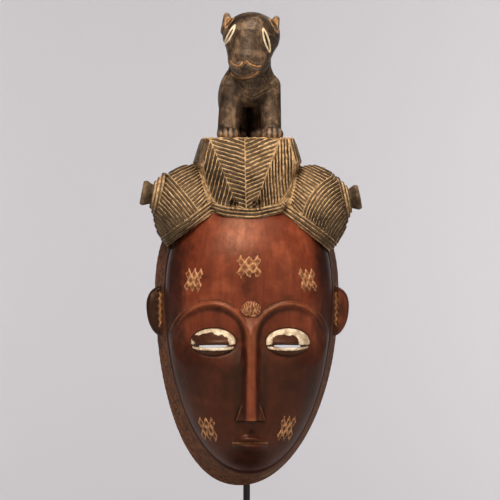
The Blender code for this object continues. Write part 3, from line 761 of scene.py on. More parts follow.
    def cuts(self, x: Array, d: Array, z: Array) -> Array:
        """1 in the bottom of a cut and 0 on the hair between, on whichever form is outermost.

        Args:
            x, d, z: where it is read.

        Returns:
            Values from 0 to a little over 1.
        """
        found = self.forms(x, d, z)
        fields = [form for form, _ in found]
        lines = np.choose(np.argmin(fields, axis=0), [lines for _, lines in found])
        seam = np.abs(fields[1] - np.minimum(fields[2], fields[3]))
        crest = (np.argmin(fields, axis=0) == 1) & (d > 50.0)
        flank = crest * smooth_step(0.4, -1.2, self.shield_edge(x, z)) * smooth_step(311.0, 304.0, z)
        rim = crest * smooth_step(329.0, 330.4, z)
        swept = np.maximum.reduce([smooth_step(3.2, 0.6, seam), flank, rim])
        dusty = np.maximum(lines, 0.74 * swept * (self.face.above_hairline(x, z) > self.band_height))
        share = self.dusting(x, z)
        return dusty * share + 0.6 * np.clip(share - 1.0, 0.0, None)

    def dusting(self, x: Array, z: Array) -> Array:
        """How thickly the dust lies: thick right of the shield, thin low on the buns.

        Args:
            x, z: where it is read.

        Returns:
            1 where the dust lies evenly, more where it is thick and less where it is thin.
        """
        thick = 0.50 * bell(x, 30.0, 13.0) * smooth_step(262.0, 282.0, z)
        thick = thick + 0.18 * bell(x, 56.0, 14.0) * smooth_step(262.0, 282.0, z)
        thin = 0.40 * smooth_step(268.0, 250.0, z) * smooth_step(44.0, 58.0, -x)
        thin = thin + 0.24 * smooth_step(266.0, 248.0, z) * smooth_step(46.0, 60.0, x)
        return 1.0 + thick - thin - 0.10 * bell(x, -30.0, 12.0)

    def smooth_hair(self, x: Array, d: Array, z: Array) -> Array:
        """1 on the uncombed parts: the crest's flanks and back, and the knobs.

        Args:
            x, d, z: where it is read.

        Returns:
            Values from 0 to 1.
        """
        above_band = self.face.above_hairline(x, z) > self.band_height
        flank = smooth_step(0.5, -0.8, self.shield_edge(x, z)) * above_band
        crest = self.crest(x, d, z)
        found = np.where(crest < 1.0, flank, 0.0)
        for side in Side:
            along, out, _ = self.about_knob(side, x, d, z)
            spool = (along > 1.4) & (out < 16.0)
            found = np.where(spool, 0.50, np.where(self.bun(side, x, d, z) < 1.2, 0.0, found))
        return np.where(d < 40.0, 1.0, found)

    def shield_lines(self, x: Array, z: Array) -> Array:
        """The shield's M-shaped rows: shallow between the folds and steep outside them.

        Args:
            x, z: where it is read.

        Returns:
            Values from 0 to 1.
        """
        across = x - self.shield_x - 0.7 * waver(z, x * 0.0, 60.0, 5)
        out = np.abs(across)
        fold = self.fold(z)
        unsteady = 0.09 * waver(x, z, 30.0, 7) + 0.05 * waver(x, z, 9.0, 8)
        fall = np.where(across < 0.0, 0.31, 0.40 + 0.25 * smooth_step(290.0, 266.0, z))
        shallow = (z - fall * out - 1.2 * np.sign(across)) / 3.9 + unsteady
        lean = np.where(across < 0.0, 1.35, 2.1)
        steep = (z + lean * (out - fold) - fall * fold) / np.where(across < 0.0, 4.9, 6.2) + unsteady
        lines = np.where(out < fold, combed(shallow, 0.60), combed(steep, 0.52))
        lines = np.maximum(lines, 0.9 * groove(out, 1.2))
        return np.maximum(lines, 0.8 * groove(out - fold, 1.0))

    def bun_lines(self, x: Array, z: Array) -> Array:
        """Two fields of combed lines on each bun, at right angles, parted by a double line.

        Args:
            x, z: where it is read.

        Returns:
            Values from 0 to 1.
        """
        out = np.abs(x - self.bun_shift * 0.5)
        bow = np.where(x > 0.0, 5.0, 0.6)
        (start_x, start_z), (way_x, way_z) = self.parting, self.parting_way
        along = (out - start_x) * way_x + (z - start_z) * way_z
        off = (out - start_x) * way_z - (z - start_z) * way_x
        off = off + bow * np.clip(1.0 - ((along - 20.0) / 22.0) ** 2, 0.0, 1.0)
        unsteady = 0.08 * waver(x, z, 26.0, 11) + 0.05 * waver(x, z, 8.0, 12)
        fan = (along + 0.010 * np.clip(-off, 0.0, None) * (along - 16.0)) / self.bun_step + unsteady
        lower = (off - 0.004 * off * (along - 20.0)) / self.bun_step + unsteady
        lines = np.where(off < -3.4, combed(fan, 0.52), np.where(off > 0.0, combed(lower, 0.52), 0.0))
        return np.maximum(lines, np.maximum(groove(off, 0.9), groove(off + 3.4, 0.9)))

    def coil_lines(self, side: Side, x: Array, d: Array, z: Array) -> Array:
        """1 in the creases between a coil's rings.

        Args:
            side: which side of the mask.
            x, d, z: where it is read.

        Returns:
            Values from 0 to 1.
        """
        along, out, _ = self.about_knob(side, x, d, z)
        crease = np.maximum.reduce([groove(out - at, 1.1) for at in self.coil_creases])
        return crease * (along < 3.0)

    def form(self, x: Array, d: Array, z: Array) -> Array:
        """The field of the whole coiffure, hollow behind where it meets the hollow of the face.

        Args:
            x, d, z: where it is read.

        Returns:
            The field, negative inside.
        """
        total = np.full(x.shape, FAR)
        for (form, lines), fillet in zip(self.forms(x, d, z), self.fillets):
            total = melt(total, form + self.cut_depth * lines, fillet)
        return cut(total, self.face.hollow(x, d, z) - 2.0, 1.0)


@dataclass(frozen=True)
class Leopard:
    """The leopard on the crest, in the mask's frame, with heights from the crest's flat top."""

    ground: float = 331.0
    trunk: tuple = ((0.0, 60.0, 55.0), (0.0, 26.0, 53.0), (20.5, 19.5))
    chest: tuple = ((0.0, 60.0, 50.0), (26.0, 17.0, 21.5))
    tail_root: tuple = ((0.0, 12.0, 66.0), (0.0, 7.0, 45.0), (5.5, 4.5))
    tail_end: tuple = ((0.0, 7.0, 45.0), (0.0, 10.0, -2.0), (4.5, 4.0))
    neck: tuple = ((0.5, 62.0, 62.0), (1.5, 72.0, 88.0), (19.5, 18.5))
    skull: tuple = ((1.3, 75.0, 95.8), (26.8, 22.5, 21.4))
    muzzle: tuple = ((0.3, 82.0, 91.0), (-2.0, 89.4, 73.4), (25.4, 19.8))
    left_ear: tuple = ((-20.0, 72.0, 101.0), (-21.9, 71.5, 114.2), (-19.4, 81.0, 107.2))
    right_ear: tuple = ((19.6, 75.0, 97.5), (24.6, 76.0, 111.0), (22.0, 84.5, 104.8))
    scoop_half: tuple = (4.9, 7.0, 9.2)
    toe_step: float = 5.2
    eyes: tuple = (((-15.2, 104.4), (-24.4, 87.2), 1.5), ((10.8, 101.0), (17.4, 79.4), 2.0))
    nostrils: tuple = (
        ((-19.2, 71.0), (-17.4, 68.4), (-15.0, 66.8), (-11.4, 66.0), (-8.6, 69.4)),
        ((-4.8, 70.8), (-2.8, 68.8), (-0.4, 67.2), (4.8, 65.3), (8.4, 66.2)),
    )
    mouth: tuple = (
        ((-20.5, 64.5), (-17.0, 58.8), (-12.5, 55.8), (-7.0, 54.6), (-1.0, 55.8), (3.4, 58.0), (6.6, 61.0)),
    )
    collar: tuple = (
        ((-13.0, 55.0), (-5.0, 45.5), (3.0, 42.0), (10.0, 45.0), (24.0, 57.0)),
        ((-10.0, 45.0), (-4.0, 39.0), (2.0, 36.5), (11.0, 40.5), (19.0, 46.5)),
        ((12.0, 58.0), (17.0, 50.0), (24.0, 47.0)),
    )

    def at(self, z: Array) -> Array:
        """Height above the crest's flat top."""
        return z - self.ground

    def form(self, x: Array, d: Array, z: Array) -> Array:
        """The field of the leopard, its masses melted together and its lines cut in.

        Args:
            x, d, z: where it is read.

        Returns:
            The field, negative inside.
        """
        lines = 0.7 * self.cuts(x, z) * (d > 45.0)
        z = self.at(z)
        trunk = melt(limb(x, d, z, *self.trunk), ball(x, d, z, *self.chest), 4.0)
        tail = np.minimum(limb(x, d, z, *self.tail_root), limb(x, d, z, *self.tail_end))
        head = melt(ball(x, d, z, *self.skull), limb(x, d, z, *self.muzzle), 4.0)
        form = melt(melt(trunk, limb(x, d, z, *self.neck), 4.0), tail, 2.0)
        for side in Side:
            form = melt(form, self.legs(side, x, d, z), 2.6)
            head = melt(head, self.ear(side, x, d, z), 1.2)
        return np.maximum(melt(form, head, 1.8) + lines, -z - 2.0)

    def cuts(self, x: Array, z: Array) -> Array:
        """1 in the bottom of each cut line.

        Args:
            x, z: where it is read.

        Returns:
            Values from 0 to 1.
        """
        eyes = groove(self.eye_line(x, z), 1.0)
        muzzle = np.maximum(groove(self.nostril_line(x, z), 1.7), groove(self.mouth_line(x, z), 1.3))
        return np.maximum.reduce([eyes, muzzle, groove(self.chest_line(x, z), 1.1)])

    def legs(self, side: Side, x: Array, d: Array, z: Array) -> Array:
        """A foreleg and a hind leg with its haunch, on one side.

        Args:
            side: which side of the mask.
            x, d, z: where it is read.

        Returns:
            The field, negative inside.
        """
        shoulder = (1.4 + side * 17.6, 64.0, 49.0)
        fore = limb(x, d, z, shoulder, (side * 20.4, 69.0, 6.0), (10.8 - 0.6 * side, 9.7 - 0.5 * side))
        paw = ball(x, d, z, (side * 20.6, 73.0, 3.0), (10.8, 12.0, 7.4))
        toes = 0.9 * combed((x - side * 20.6 + 0.6) / self.toe_step, 0.35) * smooth_step(76.0, 80.0, d)
        fore = melt(fore, paw + toes, 2.0)
        haunch = ball(x, d, z, (side * 14.0, 22.0, 38.0), (14.5, 19.0, 27.0))
        shank = limb(x, d, z, (side * 12.5, 18.0, 26.0), (side * 12.5, 19.0, 5.0), (13.2, 12.6))
        hind = ball(x, d, z, (side * 13.5, 25.0, 3.0), (12.6, 13.5, 8.0))
        return np.minimum(fore, melt(melt(haunch, shank, 3.0), hind, 2.0))

    def ear(self, side: Side, x: Array, d: Array, z: Array) -> Array:
        """A small pricked ear, scooped out in front.

        Args:
            side: which side of the mask.
            x, d, z: where it is read.

        Returns:
            The field, negative inside.
        """
        foot, tip, _ = self.ear_places(side)
        shape = limb(x, d, z, foot, tip, (8.0, 3.2))
        return cut(shape, self.ear_scoop(side, x, d, z), 0.7)

    def ear_places(self, side: Side) -> tuple[tuple, tuple, tuple]:
        """Where an ear's foot, tip and scoop are."""
        return self.right_ear if side is Side.RIGHT else self.left_ear

    def ear_scoop(self, side: Side, x: Array, d: Array, z: Array) -> Array:
        """The field of the scoop in an ear."""
        return ball(x, d, z, self.ear_places(side)[2], self.scoop_half)

    def in_ear(self, x: Array, d: Array, z: Array) -> Array:
        """1 on the pale wood inside the ears.

        Args:
            x, d, z: where it is read.

        Returns:
            Values from 0 to 1.
        """
        z = self.at(z)
        scoops = [np.abs(self.ear_scoop(side, x, d, z)) for side in Side]
        return smooth_step(1.4, 0.3, np.minimum(*scoops)) * (z > 97.0)

    def eye_line(self, x: Array, z: Array) -> Array:
        """Distance from the almond outlines of the eyes, negative in the slot between them.

        Args:
            x, z: where it is read.

        Returns:
            The distance in millimetres.
        """
        z = self.at(z)
        nearest = np.full(x.shape, FAR)
        for top, foot, half in self.eyes:
            ux, uz = foot[0] - top[0], foot[1] - top[1]
            length = math.hypot(ux, uz)
            along = ((x - top[0]) * ux + (z - top[1]) * uz) / length**2
            off = ((x - top[0]) * uz - (z - top[1]) * ux) / length
            width = half * np.clip(1.0 - (2.0 * along - 1.0) ** 2, 0.0, 1.0) ** 0.75
            ends = np.clip(np.abs(2.0 * along - 1.0) - 1.0, 0.0, None) * length / 2.0
            nearest = np.minimum(nearest, np.hypot(np.abs(off) - width, ends))
        return nearest

    def in_eye(self, x: Array, z: Array) -> Array:
        """1 between the eye's two outlines.

        Args:
            x, z: where it is read.

        Returns:
            Values from 0 to 1.
        """
        z = self.at(z)
        inside = np.zeros(x.shape)
        for top, foot, half in self.eyes:
            middle = ((top[0] + foot[0]) / 2.0, (top[1] + foot[1]) / 2.0)
            ux, uz = foot[0] - middle[0], foot[1] - middle[1]
            length = math.hypot(ux, uz)
            along = ((x - middle[0]) * ux + (z - middle[1]) * uz) / length**2
            off = ((x - middle[0]) * uz - (z - middle[1]) * ux) / length
            inside = np.maximum(inside, smooth_step(1.1, 0.8, np.hypot(along, off / half)))
        return inside

    def worn(self, x: Array, d: Array, z: Array) -> Array:
        """1 on the pale worn wood: nostrils, mouth, inside the ears and the toes.

        Args:
            x, d, z: where it is read.

        Returns:
            Values from 0 to 1.
        """
        arcs = np.maximum(groove(self.nostril_line(x, z), 1.7), groove(self.mouth_line(x, z), 1.4))
        claws = combed((np.abs(x) - 20.0) / self.toe_step + 0.5, 0.9)
        low = smooth_step(8.0, 2.0, self.at(z) + 2.0 * waver(x, d, 6.0, 17))
        toes = low * smooth_step(72.0, 79.0, d) * (0.30 + 0.34 * claws)
        return np.maximum.reduce([arcs * (d > 70.0), self.in_ear(x, d, z), toes])

    def nostril_line(self, x: Array, z: Array) -> Array:
        """Distance from the arcs of the nostrils."""
        return self.from_lines(x, z, self.nostrils)

    def mouth_line(self, x: Array, z: Array) -> Array:
        """Distance from the arc of the mouth."""
        return self.from_lines(x, z, self.mouth)

    def chest_line(self, x: Array, z: Array) -> Array:
        """Distance from the lines of the collar and the strokes on the chest and forelegs."""
        return self.from_lines(x, z, self.collar)

    def from_lines(self, x: Array, z: Array, lines: tuple) -> Array:
        """Distance in front view from the nearest of several lines."""
        return np.minimum.reduce([from_path(x, self.at(z), path) for path in lines])


class Net:
    """A field's zero surface as a mesh of even quads, each point then moved onto the surface."""

    def __init__(self, form: Field, low: tuple, high: tuple, step: float) -> None:
        """Finds the surface.

        Args:
            form: the field, in the mask's millimetres.
            low: the lowest x, d and z of the space to search.
            high: the highest.
            step: the grid's step in millimetres.
        """
        self.form, self.low, self.step = form, np.array(low), step
        self.counts = [COARSE * int(math.ceil((b - a) / step / COARSE)) + 1 for a, b in zip(low, high)]
        values = self.sample()
        self.points, self.quads = self.skin(values)
        for _ in range(3):
            self.points = self.evened(self.points)
        self.points = self.settle(self.points)

    def read(self, points: Array) -> Array:
        """Reads the field at points, in pieces that run side by side.

        Args:
            points: the points, as rows of x, d and z.

        Returns:
            The field there.
        """
        parts = np.array_split(points, max(len(points) // BATCH, 1))
        with ThreadPoolExecutor(THREADS) as pool:
            read = pool.map(lambda part: self.form(part[:, 0], part[:, 1], part[:, 2]), parts)
            return np.concatenate(list(read))

    def sample(self) -> Array:
        """Reads a coarse grid first, and then the fine grid only near the surface.

        Returns:
            The field on the fine grid, far from zero away from the surface.
        """
        axes = [self.low[i] + self.step * np.arange(n) for i, n in enumerate(self.counts)]
        coarse = [axis[::COARSE] for axis in axes]
        mesh = np.stack(np.meshgrid(*coarse, indexing="ij"), axis=-1)
        rough = self.read(mesh.reshape(-1, 3)).reshape(mesh.shape[:3])
        near = np.abs(rough) < (COARSE + 1.0) * self.step
        inside = rough < 0.0
        corners = [tuple(slice(i, i - 1 or None) for i in corner) for corner in np.ndindex(2, 2, 2)]
        some = np.logical_or.reduce([inside[c] for c in corners])
        full = np.logical_and.reduce([inside[c] for c in corners])
        active = np.logical_or.reduce([near[c] for c in corners]) | (some & ~full)
        fill = np.where(rough < 0.0, -FAR, FAR).astype(np.float32)
        values = fill.repeat(COARSE, 0).repeat(COARSE, 1).repeat(COARSE, 2)
        values = np.ascontiguousarray(values[tuple(slice(n) for n in self.counts)])
        steps = np.arange(COARSE + 1)
        offsets = np.stack(np.meshgrid(steps, steps, steps, indexing="ij"), axis=-1).reshape(1, -1, 3)
        wanted = (COARSE * np.argwhere(active)[:, None, :] + offsets).reshape(-1, 3)
        flat = np.unique(np.ravel_multi_index(wanted.T, self.counts))
        places = np.stack(np.unravel_index(flat, self.counts), axis=1)
        values.reshape(-1)[flat] = self.read(self.low + places * self.step)
        return values

    def skin(self, values: Array) -> tuple[Array, Array]:
        """Puts one point in each grid cell that the surface crosses, and joins them with quads.

        Args:
            values: the field on the fine grid.

        Returns:
            The points, and the quads as rows of four point numbers.
        """
        inside = values < 0.0
        shape = tuple(n - 1 for n in values.shape)
        count = np.zeros(shape, np.uint8)
        for i, j, k in np.ndindex(2, 2, 2):
            count += inside[i:i + shape[0], j:j + shape[1], k:k + shape[2]]
        cells = np.argwhere((count > 0) & (count < 8))
        number = np.full(shape, -1, np.int32)
        number[tuple(cells.T)] = np.arange(len(cells))
        total, hits = np.zeros((len(cells), 3)), np.zeros(len(cells))
        for axis in range(3):
            for shift in np.ndindex(2, 2):
                start = np.insert(np.array(shift), axis, 0)
                end = start + np.eye(3, dtype=int)[axis]
                a = values[tuple((cells + start).T)].astype(float)
                b = values[tuple((cells + end).T)].astype(float)
                crossed = (a < 0.0) != (b < 0.0)
                share = np.where(crossed, a / np.where(crossed, a - b, 1.0), 0.0)
                place = cells + start + share[:, None] * (end - start)
                total += place * crossed[:, None]
                hits += crossed
        points = self.low + self.step * total / hits[:, None]
        return points, np.concatenate([self.joined(inside, number, axis) for axis in range(3)])

    @staticmethod
    def joined(inside: Array, number: Array, axis: int) -> Array:
        """The quads round the grid lines along one axis that the surface crosses.

        Args:
            inside: which grid points are inside the form.
            number: each cell's point number, or -1.
            axis: the grid's axis.

        Returns:
            The quads, as rows of four point numbers.
        """
        inside, number = np.moveaxis(inside, axis, 0), np.moveaxis(number, axis, 0)
        low, high = inside[:-1, 1:-1, 1:-1], inside[1:, 1:-1, 1:-1]
        i, j, k = np.nonzero(low != high)
        ring = ((0, 0), (1, 0), (1, 1), (0, 1))
        quad = np.stack([number[i, j + right, k + up] for right, up in ring], axis=1)
        turned = low[i, j, k] == (axis == 1)
        quad = np.where(turned[:, None], quad, quad[:, ::-1])
        return quad[(quad >= 0).all(axis=1)]

    def evened(self, points: Array) -> Array:
        """Moves each point half way to the mean of its neighbours, so that no quad is drawn out.

        Args:
            points: the points, as rows of x, d and z.

        Returns:
            The moved points.
        """
        total, count = np.zeros(points.shape), np.zeros(len(points))
        for start in range(4):
            here, there = self.quads[:, start], self.quads[:, (start + 1) % 4]
            for one, other in ((here, there), (there, here)):
                count += np.bincount(one, minlength=len(points))
                for i in range(3):
                    total[:, i] += np.bincount(one, weights=points[other, i], minlength=len(points))
        return 0.5 * (points + total / np.maximum(count, 1.0)[:, None])

    def slope(self, points: Array, reach: float) -> Array:
        """The field's slope at points, from four readings round each."""
        ways = np.array([(1, 1, 1), (1, -1, -1), (-1, 1, -1), (-1, -1, 1)], float)
        return sum(self.read(points + way * reach)[:, None] * way for way in ways) / (4.0 * reach)

    def settle(self, points: Array) -> Array:
        """Moves points onto the zero surface, never far from where they are.

        Args:
            points: the points, as rows of x, d and z.

        Returns:
            The moved points.
        """
        for _ in range(2):
            slope = self.slope(points, 0.12 * self.step)
            size = np.clip((slope**2).sum(axis=1), 0.05, None)
            move = -self.read(points)[:, None] * slope / size[:, None]
            length = np.linalg.norm(move, axis=1, keepdims=True) + 1e-9
            points = points + move * np.minimum(1.0, 0.5 * self.step / length)
        return points


@dataclass(frozen=True)
class Place:
    """Where the mask's own millimetres lie in the scene, from the box of its CAD node."""

    origin: Vector
    scale: float

    @classmethod
    def of_node(cls, node: str, height: float = 448.9) -> "Place":
        """Reads the place of the mask from its CAD node.

        Args:
            node: the CAD node's name.
            height: the mask's height in its own millimetres.

        Returns:
            The place.
        """
        low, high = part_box(node)
        return cls(Vector((0.0, high.y, low.z)), (high.z - low.z) / height)

    def out(self, points: Array) -> Array:
        """Turns the mask's own points into scene points."""
        return np.array(self.origin) + points * self.scale * (1.0, -1.0, 1.0)

    def back(self, points: Array) -> Array:
        """Turns scene points into the mask's own."""
        return (points - np.array(self.origin)) / self.scale * (1.0, -1.0, 1.0)


def placed(name: str, data: bpy.types.ID) -> Piece:
    """Makes an object and links it to the scene.

    Args:
        name: its name.
        data: its mesh, light or camera.

    Returns:
        The object.
    """
    made = bpy.data.objects.new(name, data)
    bpy.context.scene.collection.objects.link(made)
    return made


def raw_mesh(name: str, points: Array, quads: Array) -> bpy.types.Mesh:
    """Makes a mesh from points and quads.

    Args:
        name: the mesh's name.
        points: the points, as rows of x, d and z.
        quads: the quads, as rows of four point numbers.

    Returns:
        The mesh.
    """
    mesh = bpy.data.meshes.new(name)
    mesh.vertices.add(len(points))
    mesh.vertices.foreach_set("co", points.astype(np.float32).ravel())
    mesh.loops.add(quads.size)
    mesh.loops.foreach_set("vertex_index", quads.astype(np.int32).ravel())
    mesh.polygons.add(len(quads))
    mesh.polygons.foreach_set("loop_start", np.arange(0, quads.size, 4, dtype=np.int32))
    mesh.update(calc_edges=True)
    return mesh


def thinned(obj: Piece, most: int) -> bpy.types.Mesh:
    """Thins a mesh where it is smoothest until it has at most a number of triangles.

    Args:
        obj: the object with the full mesh.
        most: the most triangles that it may have.

    Returns:
        The thinned mesh.
    """
    thin = obj.modifiers.new("thin", "DECIMATE")
    thin.ratio = min(1.0, most / (2.0 * len(obj.data.polygons)))
    thin.use_collapse_triangulate = True
    mesh = bpy.data.meshes.new_from_object(obj.evaluated_get(bpy.context.evaluated_depsgraph_get()))
    obj.modifiers.remove(thin)
    return mesh


def carved(name: str, form: Field, space: tuple, step: float, place: Place,
           notes: dict[str, Field]) -> Piece:
    """Builds one carved piece.

    Args:
        name: the piece's name.
        form: the field whose zero surface it has, in the mask's millimetres.
        space: the lowest and the highest x, d and z to search.
        step: the grid's step in millimetres.
        place: where the mask lies.
        notes: values for its material, each a function of x, d and z that is kept on the points.

    Returns:
        The finished piece.
    """
    net = Net(form, *space, step * (1.0))
    mesh = raw_mesh(name, place.out(net.points), net.quads)
    obj = placed(name, mesh)
    full = 2 * len(mesh.polygons)
    if full > MOST_TRIANGLES:
        obj.data = thinned(obj, MOST_TRIANGLES)
        mesh = obj.data
    flat = np.empty(3 * len(mesh.vertices), np.float32)
    mesh.vertices.foreach_get("co", flat)
    points = net.settle(place.back(flat.reshape(-1, 3).astype(float)))
    mesh.vertices.foreach_set("co", place.out(points).astype(np.float32).ravel())
    mesh.update()
    mesh.polygons.foreach_set("use_smooth", np.ones(len(mesh.polygons), bool))
    slope = net.slope(points, 0.25) * (1.0, -1.0, 1.0)
    slope /= np.linalg.norm(slope, axis=1, keepdims=True) + 1e-9
    mesh.normals_split_custom_set_from_vertices(slope)
    values = {key: note(points[:, 0], points[:, 1], points[:, 2]) for key, note in notes.items()}
    # The bend value gives both the pale wear on edges and the painted shade in creases.
    values["edge"] = bend_of(net, points)
    for key, value in values.items():
        kept = mesh.attributes.new(key, "FLOAT", "POINT")
        kept.data.foreach_set("value", np.asarray(value, np.float32))
    log.info("%s: %d faces from %d, step %.2f mm, from %s to %s", name, len(mesh.polygons), full, net.step,
             points.min(axis=0).round(1), points.max(axis=0).round(1))
    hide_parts("mask")
    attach(obj, "root")
    return obj


def bend_of(net: Net, points: Array, reach: float = 2.2) -> Array:
    """How the surface bends: toward 1 on an outer edge, 0.5 where flat and toward 0 in a crease.

    Args:
        net: the net that the points are on.
        points: the points, as rows of x, d and z.
        reach: how far round each point the field is read.

    Returns:
        A value for each point.
    """
    ways = [sign * way for way in np.eye(3) * reach for sign in (1.0, -1.0)]
    mean = sum(net.read(points + way) for way in ways) / len(ways)
    return np.clip(0.5 + mean * 0.9, 0.0, 1.0)


def linear(colour: str) -> tuple[float, float, float, float]:
    """Turns an sRGB hex colour into the linear colour that shaders use.

    Args:
        colour: six hex digits after a number sign.

    Returns:
        Red, green, blue and an alpha of 1.
    """
    parts = [int(colour[i:i + 2], 16) / 255.0 for i in (1, 3, 5)]
    red, green, blue = (c / 12.92 if c <= 0.04045 else ((c + 0.055) / 1.055) ** 2.4 for c in parts)
    return red, green, blue, 1.0


def add(tree: Tree, kind: str, inputs: dict, output: int = 0, **settings: object) -> Socket:
    """Adds a node with its settings and links.

    Args:
        tree: the node tree.
        kind: the node's type, without ShaderNode.
        inputs: what goes in each input, by its name or number: a socket to link, or a value.
        output: which output to give back.
        settings: the node's own settings.

    Returns:
        The output's socket.
    """
    node = tree.nodes.new("ShaderNode" + kind)
    for key, value in settings.items():
        setattr(node, key, value)
    for key, value in inputs.items():
        if isinstance(value, Socket):
            tree.links.new(value, node.inputs[key])
        else:
            node.inputs[key].default_value = value
    return node.outputs[output]


def dressed(name: str, surface: Callable[[Tree], dict]) -> bpy.types.Material:
    """Makes a material with a Principled shader.

    Args:
        name: the material's name.
        surface: adds the nodes before the shader, and gives what goes into the shader's inputs.

    Returns:
        The material.
    """
    made = bpy.data.materials.new(name)
    made.use_nodes = True
    tree = made.node_tree
    tree.nodes.clear()
    shader = add(tree, "BsdfPrincipled", surface(tree))
    end = tree.nodes.new("ShaderNodeOutputMaterial")
    tree.links.new(shader, end.inputs["Surface"])
    return made


def patches(place: Socket, size_mm: float, detail: float) -> dict:
    """The inputs of a noise texture whose patches have a real size in millimetres."""
    return {"Vector": place, "Scale": 1.0 / (size_mm * MM), "Detail": detail, "Roughness": 0.6}


COLOUR_MIX = {"output": 2, "data_type": "RGBA"}
SMOOTH = {"interpolation_type": "SMOOTHSTEP"}


@dataclass(frozen=True)
class Coat:
    """Paint, dust or wear that lies over the wood where a value on the mesh's points says so."""

    where: str
    dark: str
    light: str
    start: float
    full: float
    ragged: float
    patch_mm: float
    roughness: float
    cover: float = 1.0
    height_mm: float = 0.0
    drift: float = 0.0
    drift_mm: float = 32.0


@dataclass(frozen=True)
class WoodFinish:
    """A finish on carved hardwood: a stain that clouds over the grain, with coats over it."""

    name: str
    dark: str
    middle: str
    light: str
    cloud_mm: float
    grain_mm: float
    grain_share: float
    pore_mm: float
    roughness: float
    shine: float
    sheen: str
    tool_mm: float
    tool_height_mm: float
    coats: tuple

    def material(self) -> bpy.types.Material:
        """Builds the finish as a node material."""
        return dressed(self.name, self.surface)

    def surface(self, tree: Tree) -> dict:
        """Adds the finish's nodes.

        Args:
            tree: the material's node tree.

        Returns:
            What goes into the shader's inputs.
        """
        place = add(tree, "TexCoord", {}, output=3)
        along = add(tree, "VectorMath", {0: place, 1: (1.0, 1.0, 0.07)}, operation="MULTIPLY")
        cloud = add(tree, "TexNoise", patches(place, self.cloud_mm, 4.0))
        grain = add(tree, "TexNoise", patches(along, self.grain_mm, 5.0))
        pores = add(tree, "TexNoise", patches(along, self.pore_mm, 2.0))
        colour = self.stain(tree, cloud, grain)
        cut_pores = add(tree, "MapRange", {0: pores, 1: 0.62, 2: 0.74, 3: 0.0, 4: 0.55}, **SMOOTH)
        colour = add(tree, "Mix", {0: cut_pores, 6: colour, 7: linear(self.dark)}, **COLOUR_MIX)
        low, high = self.roughness - 0.05, self.roughness + 0.07
        rough = add(tree, "MapRange", {0: grain, 1: 0.3, 2: 0.7, 3: low, 4: high})
        tool = add(tree, "TexNoise", patches(place, self.tool_mm, 2.0))
        height = add(tree, "Math", {0: tool, 1: self.tool_height_mm}, operation="MULTIPLY")
        height = add(tree, "Math", {0: grain, 1: 0.10, 2: height}, operation="MULTIPLY_ADD")
        height = add(tree, "Math", {0: cut_pores, 1: -0.12, 2: height}, operation="MULTIPLY_ADD")
        for coat in self.coats:
            colour, rough, height = self.lay(tree, coat, place, colour, rough, height)
        bump = add(tree, "Bump", {"Height": height, "Distance": MM, "Strength": 1.0})
        return {"Base Color": colour, "Roughness": rough, "Normal": bump,
                "Specular IOR Level": self.shine, "Specular Tint": linear(self.sheen)}

    def stain(self, tree: Tree, cloud: Socket, grain: Socket) -> Socket:
        """The stain's colour: three tones in clouds, streaked along the grain.

        Args:
            tree: the material's node tree.
            cloud: the noise of the stain's clouds.
            grain: the noise of the wood's grain.

        Returns:
            The colour's socket.
        """
        low = add(tree, "MapRange", {0: cloud, 1: 0.34, 2: 0.50}, **SMOOTH)
        high = add(tree, "MapRange", {0: cloud, 1: 0.50, 2: 0.68}, **SMOOTH)
        colour = add(tree, "Mix", {0: low, 6: linear(self.dark), 7: linear(self.middle)}, **COLOUR_MIX)
        colour = add(tree, "Mix", {0: high, 6: colour, 7: linear(self.light)}, **COLOUR_MIX)
        streak = add(tree, "MapRange", {0: grain, 1: 0.42, 2: 0.62, 3: 0.0, 4: self.grain_share}, **SMOOTH)
        return add(tree, "Mix", {0: streak, 6: colour, 7: linear(self.dark)}, **COLOUR_MIX)

    def lay(self, tree: Tree, coat: Coat, place: Socket, colour: Socket, rough: Socket,
            height: Socket) -> tuple[Socket, Socket, Socket]:
        """Lays one coat over what is there.

        Args:
            tree: the material's node tree.
            coat: the coat.
            place: the place on the object.
            colour: the colour so far.
            rough: the roughness so far.
            height: the height so far, in millimetres.

        Returns:
            The colour, the roughness and the height with the coat on.
        """
        there = add(tree, "Attribute", {}, output=2, attribute_name=coat.where)
        broken = add(tree, "TexNoise", patches(place, coat.patch_mm, 4.0))
        edge = add(tree, "Math", {0: broken, 1: coat.ragged, 2: there}, operation="MULTIPLY_ADD")
        if coat.drift:
            wide = add(tree, "TexNoise", patches(place, coat.drift_mm, 2.0))
            edge = add(tree, "Math", {0: wide, 1: coat.drift, 2: edge}, operation="MULTIPLY_ADD")
        half = (coat.ragged + coat.drift) / 2.0
        reach = {1: coat.start + half, 2: coat.full + half, 3: 0.0, 4: coat.cover}
        mask = add(tree, "MapRange", {0: edge, **reach}, **SMOOTH)
        mottle = add(tree, "TexNoise", patches(place, coat.patch_mm * 1.7, 5.0))
        tone = add(tree, "MapRange", {0: mottle, 1: 0.38, 2: 0.62})
        tint = add(tree, "Mix", {0: tone, 6: linear(coat.dark), 7: linear(coat.light)}, **COLOUR_MIX)
        colour = add(tree, "Mix", {0: mask, 6: colour, 7: tint}, **COLOUR_MIX)
        rough = add(tree, "Mix", {0: mask, 2: rough, 3: coat.roughness})
        if coat.height_mm:
            height = add(tree, "Math", {0: mask, 1: coat.height_mm, 2: height}, operation="MULTIPLY_ADD")
        return colour, rough, height


